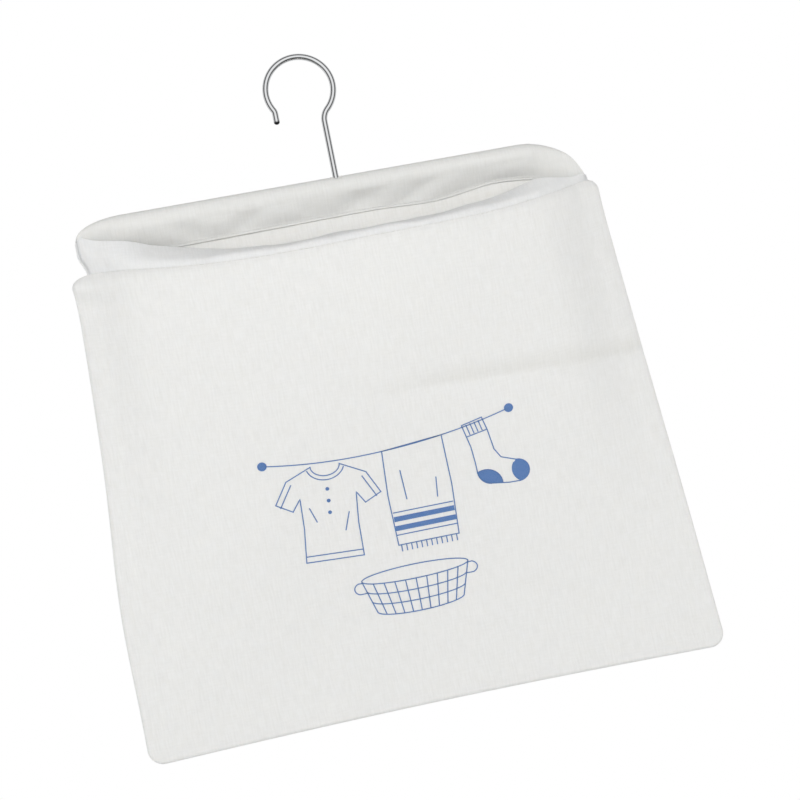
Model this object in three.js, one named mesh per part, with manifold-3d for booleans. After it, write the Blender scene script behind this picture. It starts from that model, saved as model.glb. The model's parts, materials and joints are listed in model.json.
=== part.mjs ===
// Peg bag: a cotton bag on a wooden dowel, with a swivelling wire hook.
// Millimetres, +Z up. The front faces -Y. The origin is the inside of the hook's crown, where it
// bears on a line or a rail.
import * as THREE from 'three';
import { mergeVertices } from 'three/addons/utils/BufferGeometryUtils.js';
import Module from 'manifold-3d';

const wasm = await Module();
wasm.setup();

// Hook
const wireDiameter = 3.5;
const hookInnerDiameter = 35;
const shankOffset = 10.5; // the shank stands to the right of the ring's centre
const neckBendRadius = 10; // centre line of the wire
const tailBendRadius = 5;
const tailOffset = 16.2; // the straight tail lies to the left of the ring's centre
const tailLength = 6.2;
const hookReach = 72.5; // from the crown down to the top of the dowel
const headDiameter = 6;
const headThickness = 1.2;

// Dowel and the hook's seat in it
const dowelDiameter = 12;
const dowelChamfer = 1;
const swivelClearance = 0.3; // round the shank, and round the washer in its pocket
const washerDiameter = 7;
const washerThickness = 0.8;
const headInset = 0.6; // the head's face lies this far inside the dowel's underside

// Cloth
const cloth = 0.8;
const layerGap = 0.3; // between sewn layers
const bagWidth = 326; // at the bottom edge
const bagHeight = 301; // from the top of the casing to the bottom edge
const sideFlare = 11; // the bag is narrower at the shoulders by this, on each side
const collarInset = 8; // the rim and the hem are narrower than the shoulders, on each side
const shoulderDrop = 34; // from the top of the casing to the shoulders
const collarDrop = 29; // from the top of the casing to the front hem's stitches, at the sides
const shoulderRadius = 5;
const bottomCornerRadius = 9;
const seamAllowance = 10;
const hangLean = 2.8; // degrees: the bag hangs with its weight under the dowel

// Casing round the dowel
const casingClearance = 0.4;
const casingTail = 6.6; // from the underside of the sleeve to its stitched edge
const stitchLand = 2; // height of the sewn-together edge
const casingEnd = 34; // empty casing past each end of the dowel
const slotClearance = 0.35; // round the shank, along the dowel
const swingLimit = 20; // degrees, to the front and to the back
const swingMargin = 3; // degrees left at each end of the slot

// Front hem and the open mouth
const hemDepth = 20;
const hemLean = 68; // degrees from upright, at the middle of the mouth
const mouthGap = 10; // clear gap between the lip and the casing, at the middle
const stitchSag = 13; // the hem's stitches dip by this at the middle

// Fineness of the facets
const wireSides = 10;
const wireSteps = 84;
const roundSides = 24;
const sleeveArcSteps = 16;
const sleeveEndSteps = 6;
const mouthColumns = 32;
const panelRows = 14;
const cornerSteps = 4;

// Values that follow from the driving dimensions
const wireRadius = wireDiameter / 2;
const ringRadius = hookInnerDiameter / 2 + wireRadius;
const ringHeight = -hookInnerDiameter / 2;
const dowelRadius = dowelDiameter / 2;
const axisHeight = -(hookReach + dowelRadius);
const hemThickness = 2 * cloth;
const seamThickness = 2 * cloth;
const sleeveInner = dowelRadius + casingClearance;
const sleeveOuter = sleeveInner + cloth;
const sleeveEndHalf = 2 * cloth; // half thickness of the casing where it lies flat at its ends
const bottomHalf = bagWidth / 2;
const shoulderHalf = bottomHalf - sideFlare;
const collarHalf = shoulderHalf - collarInset;
const dowelHalf = collarHalf - casingEnd;

// Heights on the bag, from the dowel's axis
const topZ = sleeveOuter;
const casingStitchZ = -(sleeveOuter + casingTail);
const hemStitchZ = topZ - collarDrop;
const shoulderZ = topZ - shoulderDrop;
const bottomZ = topZ - bagHeight;

// Depths in the bag, towards the front, from the middle of the back cloth
const seamBack = cloth / 2 + layerGap;
const seamFront = seamBack + seamThickness;
const seamClear = seamFront + layerGap;

const clothMaterial = new THREE.MeshStandardMaterial({ color: 0xeae9e6, roughness: 0.95, metalness: 0 });
const casingMaterial = new THREE.MeshStandardMaterial({ color: 0xe2e0dc, roughness: 0.95, metalness: 0 });
const chromeMaterial = new THREE.MeshStandardMaterial({ color: 0xd4d6d8, roughness: 0.12, metalness: 1 });
const steelMaterial = new THREE.MeshStandardMaterial({ color: 0x9fa3a6, roughness: 0.35, metalness: 1 });
const woodMaterial = new THREE.MeshStandardMaterial({ color: 0xd8b888, roughness: 0.6, metalness: 0 });

const radians = THREE.MathUtils.degToRad;
const lerp = THREE.MathUtils.lerp;
const smooth = (value) => THREE.MathUtils.smoothstep(value, 0, 1);

// Solids and booleans
function toSolid(geometry) {
  const bare = geometry.clone();
  bare.deleteAttribute('normal');
  bare.deleteAttribute('uv');
  const merged = mergeVertices(bare);
  return new wasm.Manifold(new wasm.Mesh({
    numProp: 3,
    vertProperties: new Float32Array(merged.attributes.position.array),
    triVerts: new Uint32Array(merged.index.array),
  }));
}

function toGeometry(solid) {
  const mesh = solid.getMesh();
  const geometry = new THREE.BufferGeometry();
  geometry.setAttribute('position', new THREE.BufferAttribute(new Float32Array(mesh.vertProperties), 3));
  geometry.setIndex(new THREE.BufferAttribute(new Uint32Array(mesh.triVerts), 1));
  geometry.computeVertexNormals();
  return geometry;
}

function named(name, geometry, material) {
  const mesh = new THREE.Mesh(geometry, material);
  mesh.name = name;
  return mesh;
}

// A closed solid from a grid of outer points and a grid of inner points. With loop set, the last
// point of each row joins the first one, which makes a tube; otherwise the grid's four edges are closed.
function shellGeometry(outer, inner, loop) {
  const rows = outer.length;
  const columns = outer[0].length;
  const points = [...outer.flat(), ...inner.flat()];
  const innerStart = rows * columns;
  const indices = [];
  const at = (row, column) => row * columns + (column % columns);
  const quad = (a, b, c, d) => indices.push(a, b, c, a, c, d);
  const across = loop ? columns : columns - 1;
  for (let row = 0; row < rows - 1; row += 1) {
    for (let column = 0; column < across; column += 1) {
      const a = at(row, column);
      const b = at(row, column + 1);
      const c = at(row + 1, column + 1);
      const d = at(row + 1, column);
      quad(a, b, c, d);
      quad(innerStart + a, innerStart + d, innerStart + c, innerStart + b);
    }
  }
  for (let column = 0; column < across; column += 1) {
    const first = [at(0, column), at(0, column + 1)];
    const last = [at(rows - 1, column), at(rows - 1, column + 1)];
    quad(first[0], innerStart + first[0], innerStart + first[1], first[1]);
    quad(last[1], innerStart + last[1], innerStart + last[0], last[0]);
  }
  for (let row = 0; row < rows - 1 && !loop; row += 1) {
    const left = [at(row, 0), at(row + 1, 0)];
    const right = [at(row, columns - 1), at(row + 1, columns - 1)];
    quad(left[1], innerStart + left[1], innerStart + left[0], left[0]);
    quad(right[0], innerStart + right[0], innerStart + right[1], right[1]);
  }
  const geometry = new THREE.BufferGeometry();
  geometry.setAttribute('position', new THREE.Float32BufferAttribute(points.flatMap((p) => [p.x, p.y, p.z]), 3));
  geometry.setIndex(indices);
  geometry.computeVertexNormals();
  return geometry;
}

// A flat piece of cloth cut to an outline in X and Z, with its front face at the given depth
function cutCloth(outline, thickness, frontY) {
  const geometry = new THREE.ExtrudeGeometry(outline, {
    depth: thickness,
    bevelEnabled: false,
    curveSegments: cornerSteps,
  });
  geometry.rotateX(Math.PI / 2);
  geometry.translate(0, frontY + thickness, 0);
  return geometry;
}

// Hook: an arc in the XZ plane, as one stretch of the wire's centre line
class WireArc extends THREE.Curve {
  constructor(centreX, centreZ, radius, startAngle, endAngle) {
    super();
    Object.assign(this, { centreX, centreZ, radius, startAngle, endAngle });
  }

  getPoint(share, target = new THREE.Vector3()) {
    const angle = lerp(this.startAngle, this.endAngle, share);
    const x = this.centreX + this.radius * Math.cos(angle);
    const z = this.centreZ + this.radius * Math.sin(angle);
    return target.set(x, 0, z);
  }
}

// The counterbore's roof, the washer and the head, from the dowel's underside up
const headBottom = axisHeight - dowelRadius + headInset;
const washerBottom = headBottom + headThickness + layerGap;
const pocketRoof = washerBottom + washerThickness + layerGap;

// The neck and the tail are arcs that touch the ring from outside
function hookPath() {
  const neckX = shankOffset + neckBendRadius;
  const neckReach = ringRadius + neckBendRadius;
  const neckZ = -Math.sqrt(neckReach ** 2 - neckX ** 2);
  const neckAngle = Math.atan2(neckZ, neckX);
  const tailX = -(tailOffset + tailBendRadius);
  const tailReach = ringRadius + tailBendRadius;
  const tailZ = -Math.sqrt(tailReach ** 2 - tailX ** 2);
  const tailAngle = Math.atan2(tailZ, tailX) + 2 * Math.PI;
  const path = new THREE.CurvePath();
  path.add(new THREE.LineCurve3(
    new THREE.Vector3(shankOffset, 0, headBottom + headThickness / 2),
    new THREE.Vector3(shankOffset, 0, ringHeight + neckZ),
  ));
  path.add(new WireArc(neckX, ringHeight + neckZ, neckBendRadius, Math.PI, Math.PI + neckAngle));
  path.add(new WireArc(0, ringHeight, ringRadius, neckAngle, tailAngle));
  path.add(new WireArc(tailX, ringHeight + tailZ, tailBendRadius, tailAngle - Math.PI, 0));
  path.add(new THREE.LineCurve3(
    new THREE.Vector3(-tailOffset, 0, ringHeight + tailZ),
    new THREE.Vector3(-tailOffset, 0, ringHeight + tailZ - tailLength),
  ));
  return path;
}

function roundSection(radius, sides) {
  const section = new THREE.Shape();
  for (let side = 0; side < sides; side += 1) {
    const angle = (2 * Math.PI * side) / sides;
    const move = side === 0 ? 'moveTo' : 'lineTo';
    section[move](radius * Math.cos(angle), radius * Math.sin(angle));
  }
  section.closePath();
  return section;
}

// A disc or ring standing on a height, on the shank's axis
function discGeometry(innerRadius, outerRadius, bottom, height) {
  const profile = [
    new THREE.Vector2(innerRadius, bottom),
    new THREE.Vector2(outerRadius, bottom),
    new THREE.Vector2(outerRadius, bottom + height),
    new THREE.Vector2(innerRadius, bottom + height),
  ];
  if (innerRadius > 0) {
    profile.push(profile[0].clone());
  }
  const geometry = new THREE.LatheGeometry(profile, roundSides);
  geometry.rotateX(Math.PI / 2);
  geometry.translate(shankOffset, 0, 0);
  return geometry;
}

function hook() {
  const path = hookPath();
  const wire = new THREE.ExtrudeGeometry(roundSection(wireRadius, wireSides), {
    steps: wireSteps,
    extrudePath: path,
    bevelEnabled: false,
  });
  const head = discGeometry(0, headDiameter / 2, headBottom, headThickness);
  const tip = new THREE.SphereGeometry(wireRadius, wireSides, wireSides / 2);
  const tipPoint = path.getPoint(1);
  tip.translate(tipPoint.x, tipPoint.y, tipPoint.z);
  const solid = toSolid(wire).add(toSolid(head)).add(toSolid(tip));
  return named('hook', toGeometry(solid), chromeMaterial);
}

function swivelWasher() {
  const bore = wireRadius + swivelClearance;
  const ring = discGeometry(bore, washerDiameter / 2, washerBottom, washerThickness);
  return named('swivel_washer', ring, steelMaterial);
}

// Dowel: a turned bar with chamfered ends, bored for the shank and counterbored for the washer
function hangerDowel() {
  const bar = new THREE.LatheGeometry([
    new THREE.Vector2(0, -dowelHalf),
    new THREE.Vector2(dowelRadius - dowelChamfer, -dowelHalf),
    new THREE.Vector2(dowelRadius, -dowelHalf + dowelChamfer),
    new THREE.Vector2(dowelRadius, dowelHalf - dowelChamfer),
    new THREE.Vector2(dowelRadius - dowelChamfer, dowelHalf),
    new THREE.Vector2(0, dowelHalf),
  ], roundSides);
  bar.rotateZ(-Math.PI / 2);
  bar.translate(shankOffset, 0, axisHeight);
  const underside = axisHeight - dowelDiameter;
  const bore = discGeometry(0, wireRadius + swivelClearance, underside, 2 * dowelDiameter);
  const pocketRadius = washerDiameter / 2 + swivelClearance;
  const pocket = discGeometry(0, pocketRadius, underside, pocketRoof - underside);
  const solid = toSolid(bar).subtract(toSolid(bore)).subtract(toSolid(pocket));
  return named('hanger_dowel', toGeometry(solid), woodMaterial);
}

// Half width of the bag at a height below the shoulders, from its straight sides
function sideHalf(z) {
  return lerp(bottomHalf, shoulderHalf, (z - bottomZ) / (shoulderZ - bottomZ));
}

// The pattern's outline: round bottom corners, straight sides, round shoulders and the narrower collar
function panelOutline(top) {
  const sideAngle = Math.atan2(sideFlare, shoulderZ - bottomZ);
  const shape = new THREE.Shape();
  const cornerX = sideHalf(bottomZ + bottomCornerRadius) - bottomCornerRadius;
  shape.moveTo(-cornerX, bottomZ);
  shape.absarc(cornerX, bottomZ + bottomCornerRadius, bottomCornerRadius, -Math.PI / 2, sideAngle, false);
  const roundX = sideHalf(shoulderZ - shoulderRadius) - shoulderRadius;
  const roundZ = shoulderZ - shoulderRadius;
  shape.absarc(roundX, roundZ, shoulderRadius, sideAngle, Math.PI / 2, false);
  shape.lineTo(collarHalf, hemStitchZ);
  shape.lineTo(collarHalf, top);
  shape.lineTo(-collarHalf, top);
  shape.lineTo(-collarHalf, hemStitchZ);
  shape.absarc(-roundX, roundZ, shoulderRadius, Math.PI / 2, Math.PI - sideAngle, false);
  shape.absarc(-cornerX, bottomZ + bottomCornerRadius, bottomCornerRadius, Math.PI - sideAngle, 1.5 * Math.PI, false);
  return shape;
}

function backPanel() {
  const outline = panelOutline(casingStitchZ - layerGap);
  return named('back_panel', cutCloth(outline, cloth, -cloth / 2), clothMaterial);
}

// Casing: at each station along the dowel, a round over the bar that runs down to the stitched edge.
// Past the dowel's ends the round sinks and flattens, so that the rim's ends droop.
function casingStation(x) {
  const past = THREE.MathUtils.clamp((Math.abs(x) - dowelHalf) / casingEnd, 0, 1);
  const endTop = casingStitchZ + stitchLand + 3 * sleeveEndHalf;
  const sink = 1 - Math.sqrt(1 - past ** 2);
  return { top: lerp(topZ, endTop, sink), radius: lerp(sleeveOuter, sleeveEndHalf, smooth(past)) };
}

function dropLoop(x, radius, centreZ, tipHalf, tipZ) {
  const drop = centreZ - tipZ;
  const reach = Math.hypot(tipHalf, drop);
  const start = Math.atan2(tipHalf, drop) + Math.acos(radius / reach);
  const loop = [new THREE.Vector3(x, tipHalf, tipZ)];
  for (let step = 0; step <= sleeveArcSteps; step += 1) {
    const angle = lerp(start, 2 * Math.PI - start, step / sleeveArcSteps);
    loop.push(new THREE.Vector3(x, radius * Math.sin(angle), centreZ - radius * Math.cos(angle)));
  }
  loop.push(new THREE.Vector3(x, -tipHalf, tipZ));
  return loop;
}

function shankSlot() {
  const halfAngle = radians(swingLimit + swingMargin + hangLean) + Math.asin(wireRadius / sleeveInner);
  const halfLength = sleeveInner * Math.sin(halfAngle);
  const halfWidth = wireRadius + slotClearance;
  const slot = new THREE.Shape();
  slot.absarc(0, halfLength - halfWidth, halfWidth, 0, Math.PI, false);
  slot.absarc(0, halfWidth - halfLength, halfWidth, Math.PI, 2 * Math.PI, false);
  return new THREE.ExtrudeGeometry(slot, { depth: 2 * sleeveOuter, bevelEnabled: false, curveSegments: cornerSteps });
}

function barCasing() {
  const stations = [];
  for (let step = sleeveEndSteps; step > 0; step -= 1) {
    stations.push(-dowelHalf - casingEnd * Math.sin((Math.PI / 2) * (step / sleeveEndSteps)));
  }
  stations.push(-dowelHalf);
  const xs = [...stations, ...stations.map((x) => -x).reverse()];
  const outer = [];
  const inner = [];
  const innerTip = cloth / 4;
  for (const x of xs) {
    const { top, radius } = casingStation(x);
    outer.push(dropLoop(x, radius, top - radius, cloth, casingStitchZ));
    inner.push(dropLoop(x, radius - cloth, top - radius, innerTip, casingStitchZ + stitchLand));
  }
  const sleeve = toSolid(shellGeometry(outer, inner, true));
  return named('bar_casing', toGeometry(sleeve.subtract(toSolid(shankSlot()))), casingMaterial);
}

// How far the mouth bows out across the bag: 1 at the middle, 0 at the seam allowances
function bowShare(x, half) {
  const across = Math.min(Math.abs(x) / (half - seamAllowance), 1);
  return (1 - across ** 4) ** 1.5;
}

function leanAt(share) {
  return radians(hemLean) * share;
}

// The front cloth stands off far enough for its hem to lean back and still leave the mouth's gap
function bowDepth(share) {
  return mouthGap * share + hemDepth * Math.sin(leanAt(share));
}

function hemClear(x) {
  return Math.max(casingStation(x).radius, seamFront) + layerGap;
}

function hemEdge(x) {
  return hemStitchZ - stitchSag * bowShare(x, collarHalf);
}

// Heights of the front cloth's rows at its sides, with the half width of each
function frontRows() {
  const rows = [];
  for (let step = 0; step < cornerSteps; step += 1) {
    const angle = (Math.PI / 2) * (step / cornerSteps);
    const z = bottomZ + bottomCornerRadius * (1 - Math.cos(angle));
    rows.push({ z, half: sideHalf(z) - bottomCornerRadius * (1 - Math.sin(angle)) });
  }
  const low = bottomZ + bottomCornerRadius;
  const high = shoulderZ - shoulderRadius;
  for (let row = 0; row <= panelRows; row += 1) {
    const z = lerp(low, high, row / panelRows);
    rows.push({ z, half: sideHalf(z) });
  }
  for (let step = 1; step <= cornerSteps; step += 1) {
    const angle = (Math.PI / 2) * (step / cornerSteps);
    const z = high + shoulderRadius * Math.sin(angle);
    rows.push({ z, half: sideHalf(z) - shoulderRadius * (1 - Math.cos(angle)) });
  }
  rows.push({ z: hemStitchZ, half: collarHalf });
  return rows;
}

function frontPanel() {
  const outer = [];
  const inner = [];
  for (const { z, half } of frontRows()) {
    const raised = (z - bottomZ - seamAllowance) / (hemStitchZ - bottomZ - seamAllowance);
    const rise = smooth(raised);
    const outerRow = [];
    const innerRow = [];
    for (let column = 0; column <= mouthColumns; column += 1) {
      const x = half * (2 * (column / mouthColumns) - 1);
      const share = bowShare(x, half);
      const depth = lerp(seamClear, hemClear(x), rise) + bowDepth(share) * rise;
      const height = z - stitchSag * share * rise;
      innerRow.push(new THREE.Vector3(x, -depth, height));
      outerRow.push(new THREE.Vector3(x, -depth - cloth, height));
    }
    outer.push(outerRow);
    inner.push(innerRow);
  }
  return named('front_panel', shellGeometry(outer, inner, false), clothMaterial);
}

// Hem: a doubled band that stands on the front cloth's stitched edge and leans back at the middle
function frontHem() {
  const foot = [];
  const lip = [];
  const footBack = [];
  const lipBack = [];
  for (let column = 0; column <= mouthColumns; column += 1) {
    const x = collarHalf * (2 * (column / mouthColumns) - 1);
    const share = bowShare(x, collarHalf);
    const lean = leanAt(share);
    const y = -(hemClear(x) + hemThickness + bowDepth(share));
    const z = hemEdge(x) + layerGap + hemThickness * Math.sin(lean);
    const footPoint = new THREE.Vector3(x, y, z);
    const up = new THREE.Vector3(0, Math.sin(lean), Math.cos(lean)).multiplyScalar(hemDepth);
    const inward = new THREE.Vector3(0, Math.cos(lean), -Math.sin(lean)).multiplyScalar(hemThickness);
    const lipPoint = footPoint.clone().add(up);
    foot.push(footPoint);
    lip.push(lipPoint);
    footBack.push(footPoint.clone().add(inward));
    lipBack.push(lipPoint.clone().add(inward));
  }
  return named('front_hem', shellGeometry([foot, lip], [footBack, lipBack], false), clothMaterial);
}

// Seam allowances: doubled strips between the two cloths, along the sides and the bottom
function sideSeam(name, side) {
  const top = casingStitchZ - layerGap;
  const inset = (z) => sideHalf(z) - seamAllowance;
  const cornerX = sideHalf(bottomZ + bottomCornerRadius) - bottomCornerRadius;
  const strip = new THREE.Shape();
  strip.moveTo(inset(bottomZ), bottomZ);
  strip.absarc(cornerX, bottomZ + bottomCornerRadius, bottomCornerRadius, -Math.PI / 2, 0, false);
  strip.lineTo(sideHalf(shoulderZ - shoulderRadius), shoulderZ - shoulderRadius);
  strip.lineTo(collarHalf, hemStitchZ);
  strip.lineTo(collarHalf, top);
  strip.lineTo(collarHalf - seamAllowance, top);
  strip.lineTo(collarHalf - seamAllowance, hemStitchZ);
  strip.lineTo(inset(shoulderZ), shoulderZ);
  const geometry = cutCloth(strip, seamThickness, -seamFront);
  if (side < 0) {
    geometry.rotateZ(Math.PI);
    geometry.translate(0, -seamFront - seamBack, 0);
  }
  return named(name, geometry, clothMaterial);
}

function bottomSeam() {
  const half = (z) => sideHalf(z) - seamAllowance - layerGap;
  const strip = new THREE.Shape();
  strip.moveTo(-half(bottomZ), bottomZ);
  strip.lineTo(half(bottomZ), bottomZ);
  strip.lineTo(half(bottomZ + seamAllowance), bottomZ + seamAllowance);
  strip.lineTo(-half(bottomZ + seamAllowance), bottomZ + seamAllowance);
  return named('bottom_seam', cutCloth(strip, seamThickness, -seamFront), clothMaterial);
}

// The sewn bag, in a group on the dowel's axis
const bag = new THREE.Group();
bag.add(
  barCasing(),
  backPanel(),
  frontPanel(),
  frontHem(),
  sideSeam('left_seam', -1),
  sideSeam('right_seam', 1),
  bottomSeam(),
);
bag.position.set(shankOffset, 0, axisHeight);
bag.rotation.x = radians(hangLean);

const pegBag = new THREE.Group();
pegBag.add(hook(), swivelWasher(), hangerDowel(), bag);

export default pegBag;
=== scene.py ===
"""Peg bag: cotton cloth, stitching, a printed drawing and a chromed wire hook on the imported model.

Points on the bag are worked out in metres from the dowel's axis: x along the dowel from the shank,
y towards the back and z up. The bag's skew and lean then turn them into the frame.
"""
import json
import math

import bmesh
import bpy
import numpy as np
from bpy.props import FloatProperty, FloatVectorProperty, IntProperty, PointerProperty
from mathutils import Matrix, Vector


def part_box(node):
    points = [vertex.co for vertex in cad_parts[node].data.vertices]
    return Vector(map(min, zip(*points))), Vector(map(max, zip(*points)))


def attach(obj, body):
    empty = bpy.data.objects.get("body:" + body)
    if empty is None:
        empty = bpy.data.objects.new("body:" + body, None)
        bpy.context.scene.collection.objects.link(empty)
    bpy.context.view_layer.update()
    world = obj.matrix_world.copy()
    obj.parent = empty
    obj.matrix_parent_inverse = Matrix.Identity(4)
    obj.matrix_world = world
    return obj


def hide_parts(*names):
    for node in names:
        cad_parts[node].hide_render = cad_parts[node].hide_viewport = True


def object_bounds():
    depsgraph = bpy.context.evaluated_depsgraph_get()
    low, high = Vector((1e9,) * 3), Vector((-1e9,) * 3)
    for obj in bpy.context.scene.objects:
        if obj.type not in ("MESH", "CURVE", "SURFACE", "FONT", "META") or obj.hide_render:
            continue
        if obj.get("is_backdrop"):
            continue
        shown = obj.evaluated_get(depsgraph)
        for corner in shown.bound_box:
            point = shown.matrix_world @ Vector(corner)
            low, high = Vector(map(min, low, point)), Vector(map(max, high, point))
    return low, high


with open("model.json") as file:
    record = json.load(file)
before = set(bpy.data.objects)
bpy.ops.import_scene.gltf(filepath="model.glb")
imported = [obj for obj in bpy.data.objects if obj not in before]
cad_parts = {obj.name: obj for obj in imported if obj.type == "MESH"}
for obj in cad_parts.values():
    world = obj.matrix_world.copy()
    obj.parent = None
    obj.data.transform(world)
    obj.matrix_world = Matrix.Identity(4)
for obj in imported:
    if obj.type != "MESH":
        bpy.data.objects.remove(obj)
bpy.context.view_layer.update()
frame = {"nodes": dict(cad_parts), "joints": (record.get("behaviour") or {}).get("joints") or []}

bl_info = {
    "name": "Peg bag",
    "version": (1, 0, 0),
    "blender": (4, 5, 0),
    "location": "View3D > Sidebar > Peg bag",
    "description": "Sews the cloth, thread and print of a hanging peg bag and bends its wire hook",
    "category": "Add Mesh",
}

MM = 0.001
TURN = 2 * math.pi


def joint_point(name):
    """The place of a joint of the frame."""
    for joint in frame["joints"]:
        if joint["name"] == name:
            return Vector(joint["pos_m"])
    raise RuntimeError(f"the frame has no joint named {name}")


def half_size(node, axis):
    low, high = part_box(node)
    return (high[axis] - low[axis]) / 2


AXIS = joint_point("bag_swing")
DOWEL_RADIUS = half_size("hanger_dowel", 2)
DOWEL_REACH = half_size("hanger_dowel", 0)
BAG_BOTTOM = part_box("back_panel")[0].z - AXIS.z
HOOK_FOOT, HOOK_CROWN = (corner.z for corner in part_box("hook"))
SLOT_HALF_WIDTH = 2.1 * MM
SLOT_HALF_LENGTH = 4.7 * MM
LAYER_GAP = 0.05 * MM
WEAVE = 1900  # threads in a metre of cloth


# Settings that a user would change
def length(name, description, millimetres):
    return FloatProperty(
        name=name, description=description, default=millimetres * MM, unit="LENGTH", precision=5
    )


def left_right(name, description, left, right):
    return FloatVectorProperty(
        name=name, description=description + ", on the left and on the right", size=2,
        default=(left * MM, right * MM), unit="LENGTH", precision=5,
    )


def angle(name, description, degrees):
    return FloatProperty(
        name=name, description=description, default=math.radians(degrees), subtype="ANGLE"
    )


def colour(name, description, red, green, blue):
    return FloatVectorProperty(
        name=name, description=description, size=3, default=(red, green, blue),
        subtype="COLOR", min=0, max=1,
    )


def tone(name, description, red, green, blue):
    return FloatVectorProperty(
        name=name, description=description, size=3, default=(red, green, blue)
    )


def strength(name, description, value):
    return FloatProperty(name=name, description=description, default=value)


def power(name, place, watts):
    return FloatProperty(
        name=name, description="Power of the light " + place, default=watts, unit="POWER"
    )


class PegBagCloth(bpy.types.PropertyGroup):
    """The two cloths: their outline, the casing over the dowel and the front hem"""

    thickness: length("Thickness", "Thickness of one layer of cloth", 0.8)
    lean: angle("Lean", "Turn of the hanging bag about the dowel", 2.8)
    skew: angle("Skew", "The bag hangs askew below its dowel by this", 0.6)
    bottom_reach: left_right("Bottom reach", "From the shank to the bottom corner", 164, 162.5)
    shoulder_reach: left_right("Side reach", "From the shank to below the shoulder", 154.5, 145.5)
    shoulder_flare: left_right("Flare", "The shoulder stands out past the side by this", 1.8, 0.8)
    side_bow: left_right("Side bow", "The side stands out by this below its middle", 3.2, 0.4)
    notch_reach: left_right("Notch reach", "From the shank to above the shoulder", 146, 140.5)
    collar_reach: left_right("Collar reach", "From the shank to the end of the rim", 149.5, 139)
    shoulder_height: length("Shoulder height", "The widest point, from the dowel's axis", -28)
    notch_height: length("Notch height", "The notch and the ends of the hem's stitches", -21.8)
    corner_radius: length("Corner radius", "Round of the bottom corners", 9)
    seam_depth: length("Seam depth", "The side seam, in front of the dowel's axis", 1.5)
    edge_roll: length("Edge roll", "Width over which a cloth turns in to its seam", 2.6)
    allowance: length("Seam allowance", "Width of the sewn allowance inside the bag", 10)
    body_depth: length("Body depth", "The front cloth's face above the bottom seam", 3.4)
    bottom_arch: length("Bottom arch", "The bottom edge is drawn up by this at the middle", 2.4)
    sleeve_clearance: length("Sleeve clearance", "Between the dowel and the casing", 0.4)
    casing_stitch: length("Casing stitch", "The casing's stitches, from the dowel's axis", -13.8)
    casing_tail: length("Casing tail", "The turned edge hangs below its stitches by this", 1.6)
    casing_bulge: length("Casing bulge", "The casing stands out by this above its stitches", 0.9)
    droop_start: left_right("Droop start", "From the shank to where the rim droops", 122, 104)
    droop: left_right("Droop", "The rim's end lies lower than its middle by this", 10, 26)
    droop_radius: length("Droop radius", "Round of the empty casing at its ends", 1.1)
    stitch_drop: left_right("Stitch drop", "The casing's stitches drop by this", 0.5, 7.6)
    mouth_centre: length("Mouth centre", "The middle of the mouth, from the shank", -4.5)
    mouth_gap: length("Mouth gap", "Between the lip and the casing", 6)
    hem_depth: length("Hem depth", "Depth of the front hem", 20)
    hem_end_depth: left_right("Hem end depth", "Depth of the front hem at its ends", 18, 3.6)
    hem_right_depth: length("Hem right depth", "Depth of the front hem right of its middle", 14)
    hem_lean: angle("Hem lean", "The hem leans back by this at the middle", 76)
    hem_bend: length("Hem bend", "Height over which the hem bends back", 6)
    hem_fold: length("Hem fold", "Radius of the fold at the lip", 1.0)
    stitch_sag: length("Stitch sag", "The hem's stitches dip by this at the middle", 13)
    crease_depth: length("Crease depth", "Depth of the packing fold across the front", 2.2)
    colour: colour("Cotton", "Off-white cotton", 0.845, 0.843, 0.825)
    # Partly painted shade: this darker colour goes where the threads lie deeper, and with the cloth's
    # own uneven slubs and patches.
    shade: colour("Cotton shade", "Cotton where its threads lie deeper", 0.78, 0.776, 0.752)
    # Painted light: the doubled hem, of the same cloth, is tinted a little brighter and bluer.
    hem_painted_light: tone("Hem tone", "The doubled hem against the single cloth", 1.0, 1.005, 1.02)
    # Painted shade: a darker band of the cloth just above the packing fold.
    painted_fold_tone: tone("Fold tone", "The soiled band along the packing fold", 0.94, 0.938, 0.928)
    # Painted shade: the casing above its stitches is darkened for the wood behind the thin cloth.
    casing_painted_shade: tone("Casing tone", "The casing, with wood behind it", 0.97, 0.97, 0.962)


class PegBagThread(bpy.types.PropertyGroup):
    """The sewing thread"""

    pitch: length("Pitch", "From one stitch to the next", 3.0)
    stitch: length("Stitch", "Length of a stitch", 2.5)
    radius: length("Radius", "Radius of the thread", 0.24)
    overlock: length("Overlock pitch", "From one overlock stitch to the next", 3.6)
    colour: colour("Thread", "Off-white cotton thread", 0.83, 0.825, 0.80)


class PegBagPrint(bpy.types.PropertyGroup):
    """The drawing printed on the front"""

    centre: FloatVectorProperty(
        name="Centre", description="Middle of the drawing on the front cloth", size=2,
        default=(-4 * MM, -184 * MM), unit="LENGTH", precision=5,
    )
    stroke: length("Stroke", "Width of the drawn lines", 0.62)
    film: length("Film", "Thickness of the print", 0.12)
    colour: colour("Ink", "Blue ink", 0.065, 0.17, 0.47)
    worn: colour("Worn ink", "The ink where it misses the low threads", 0.23, 0.35, 0.62)


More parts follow.
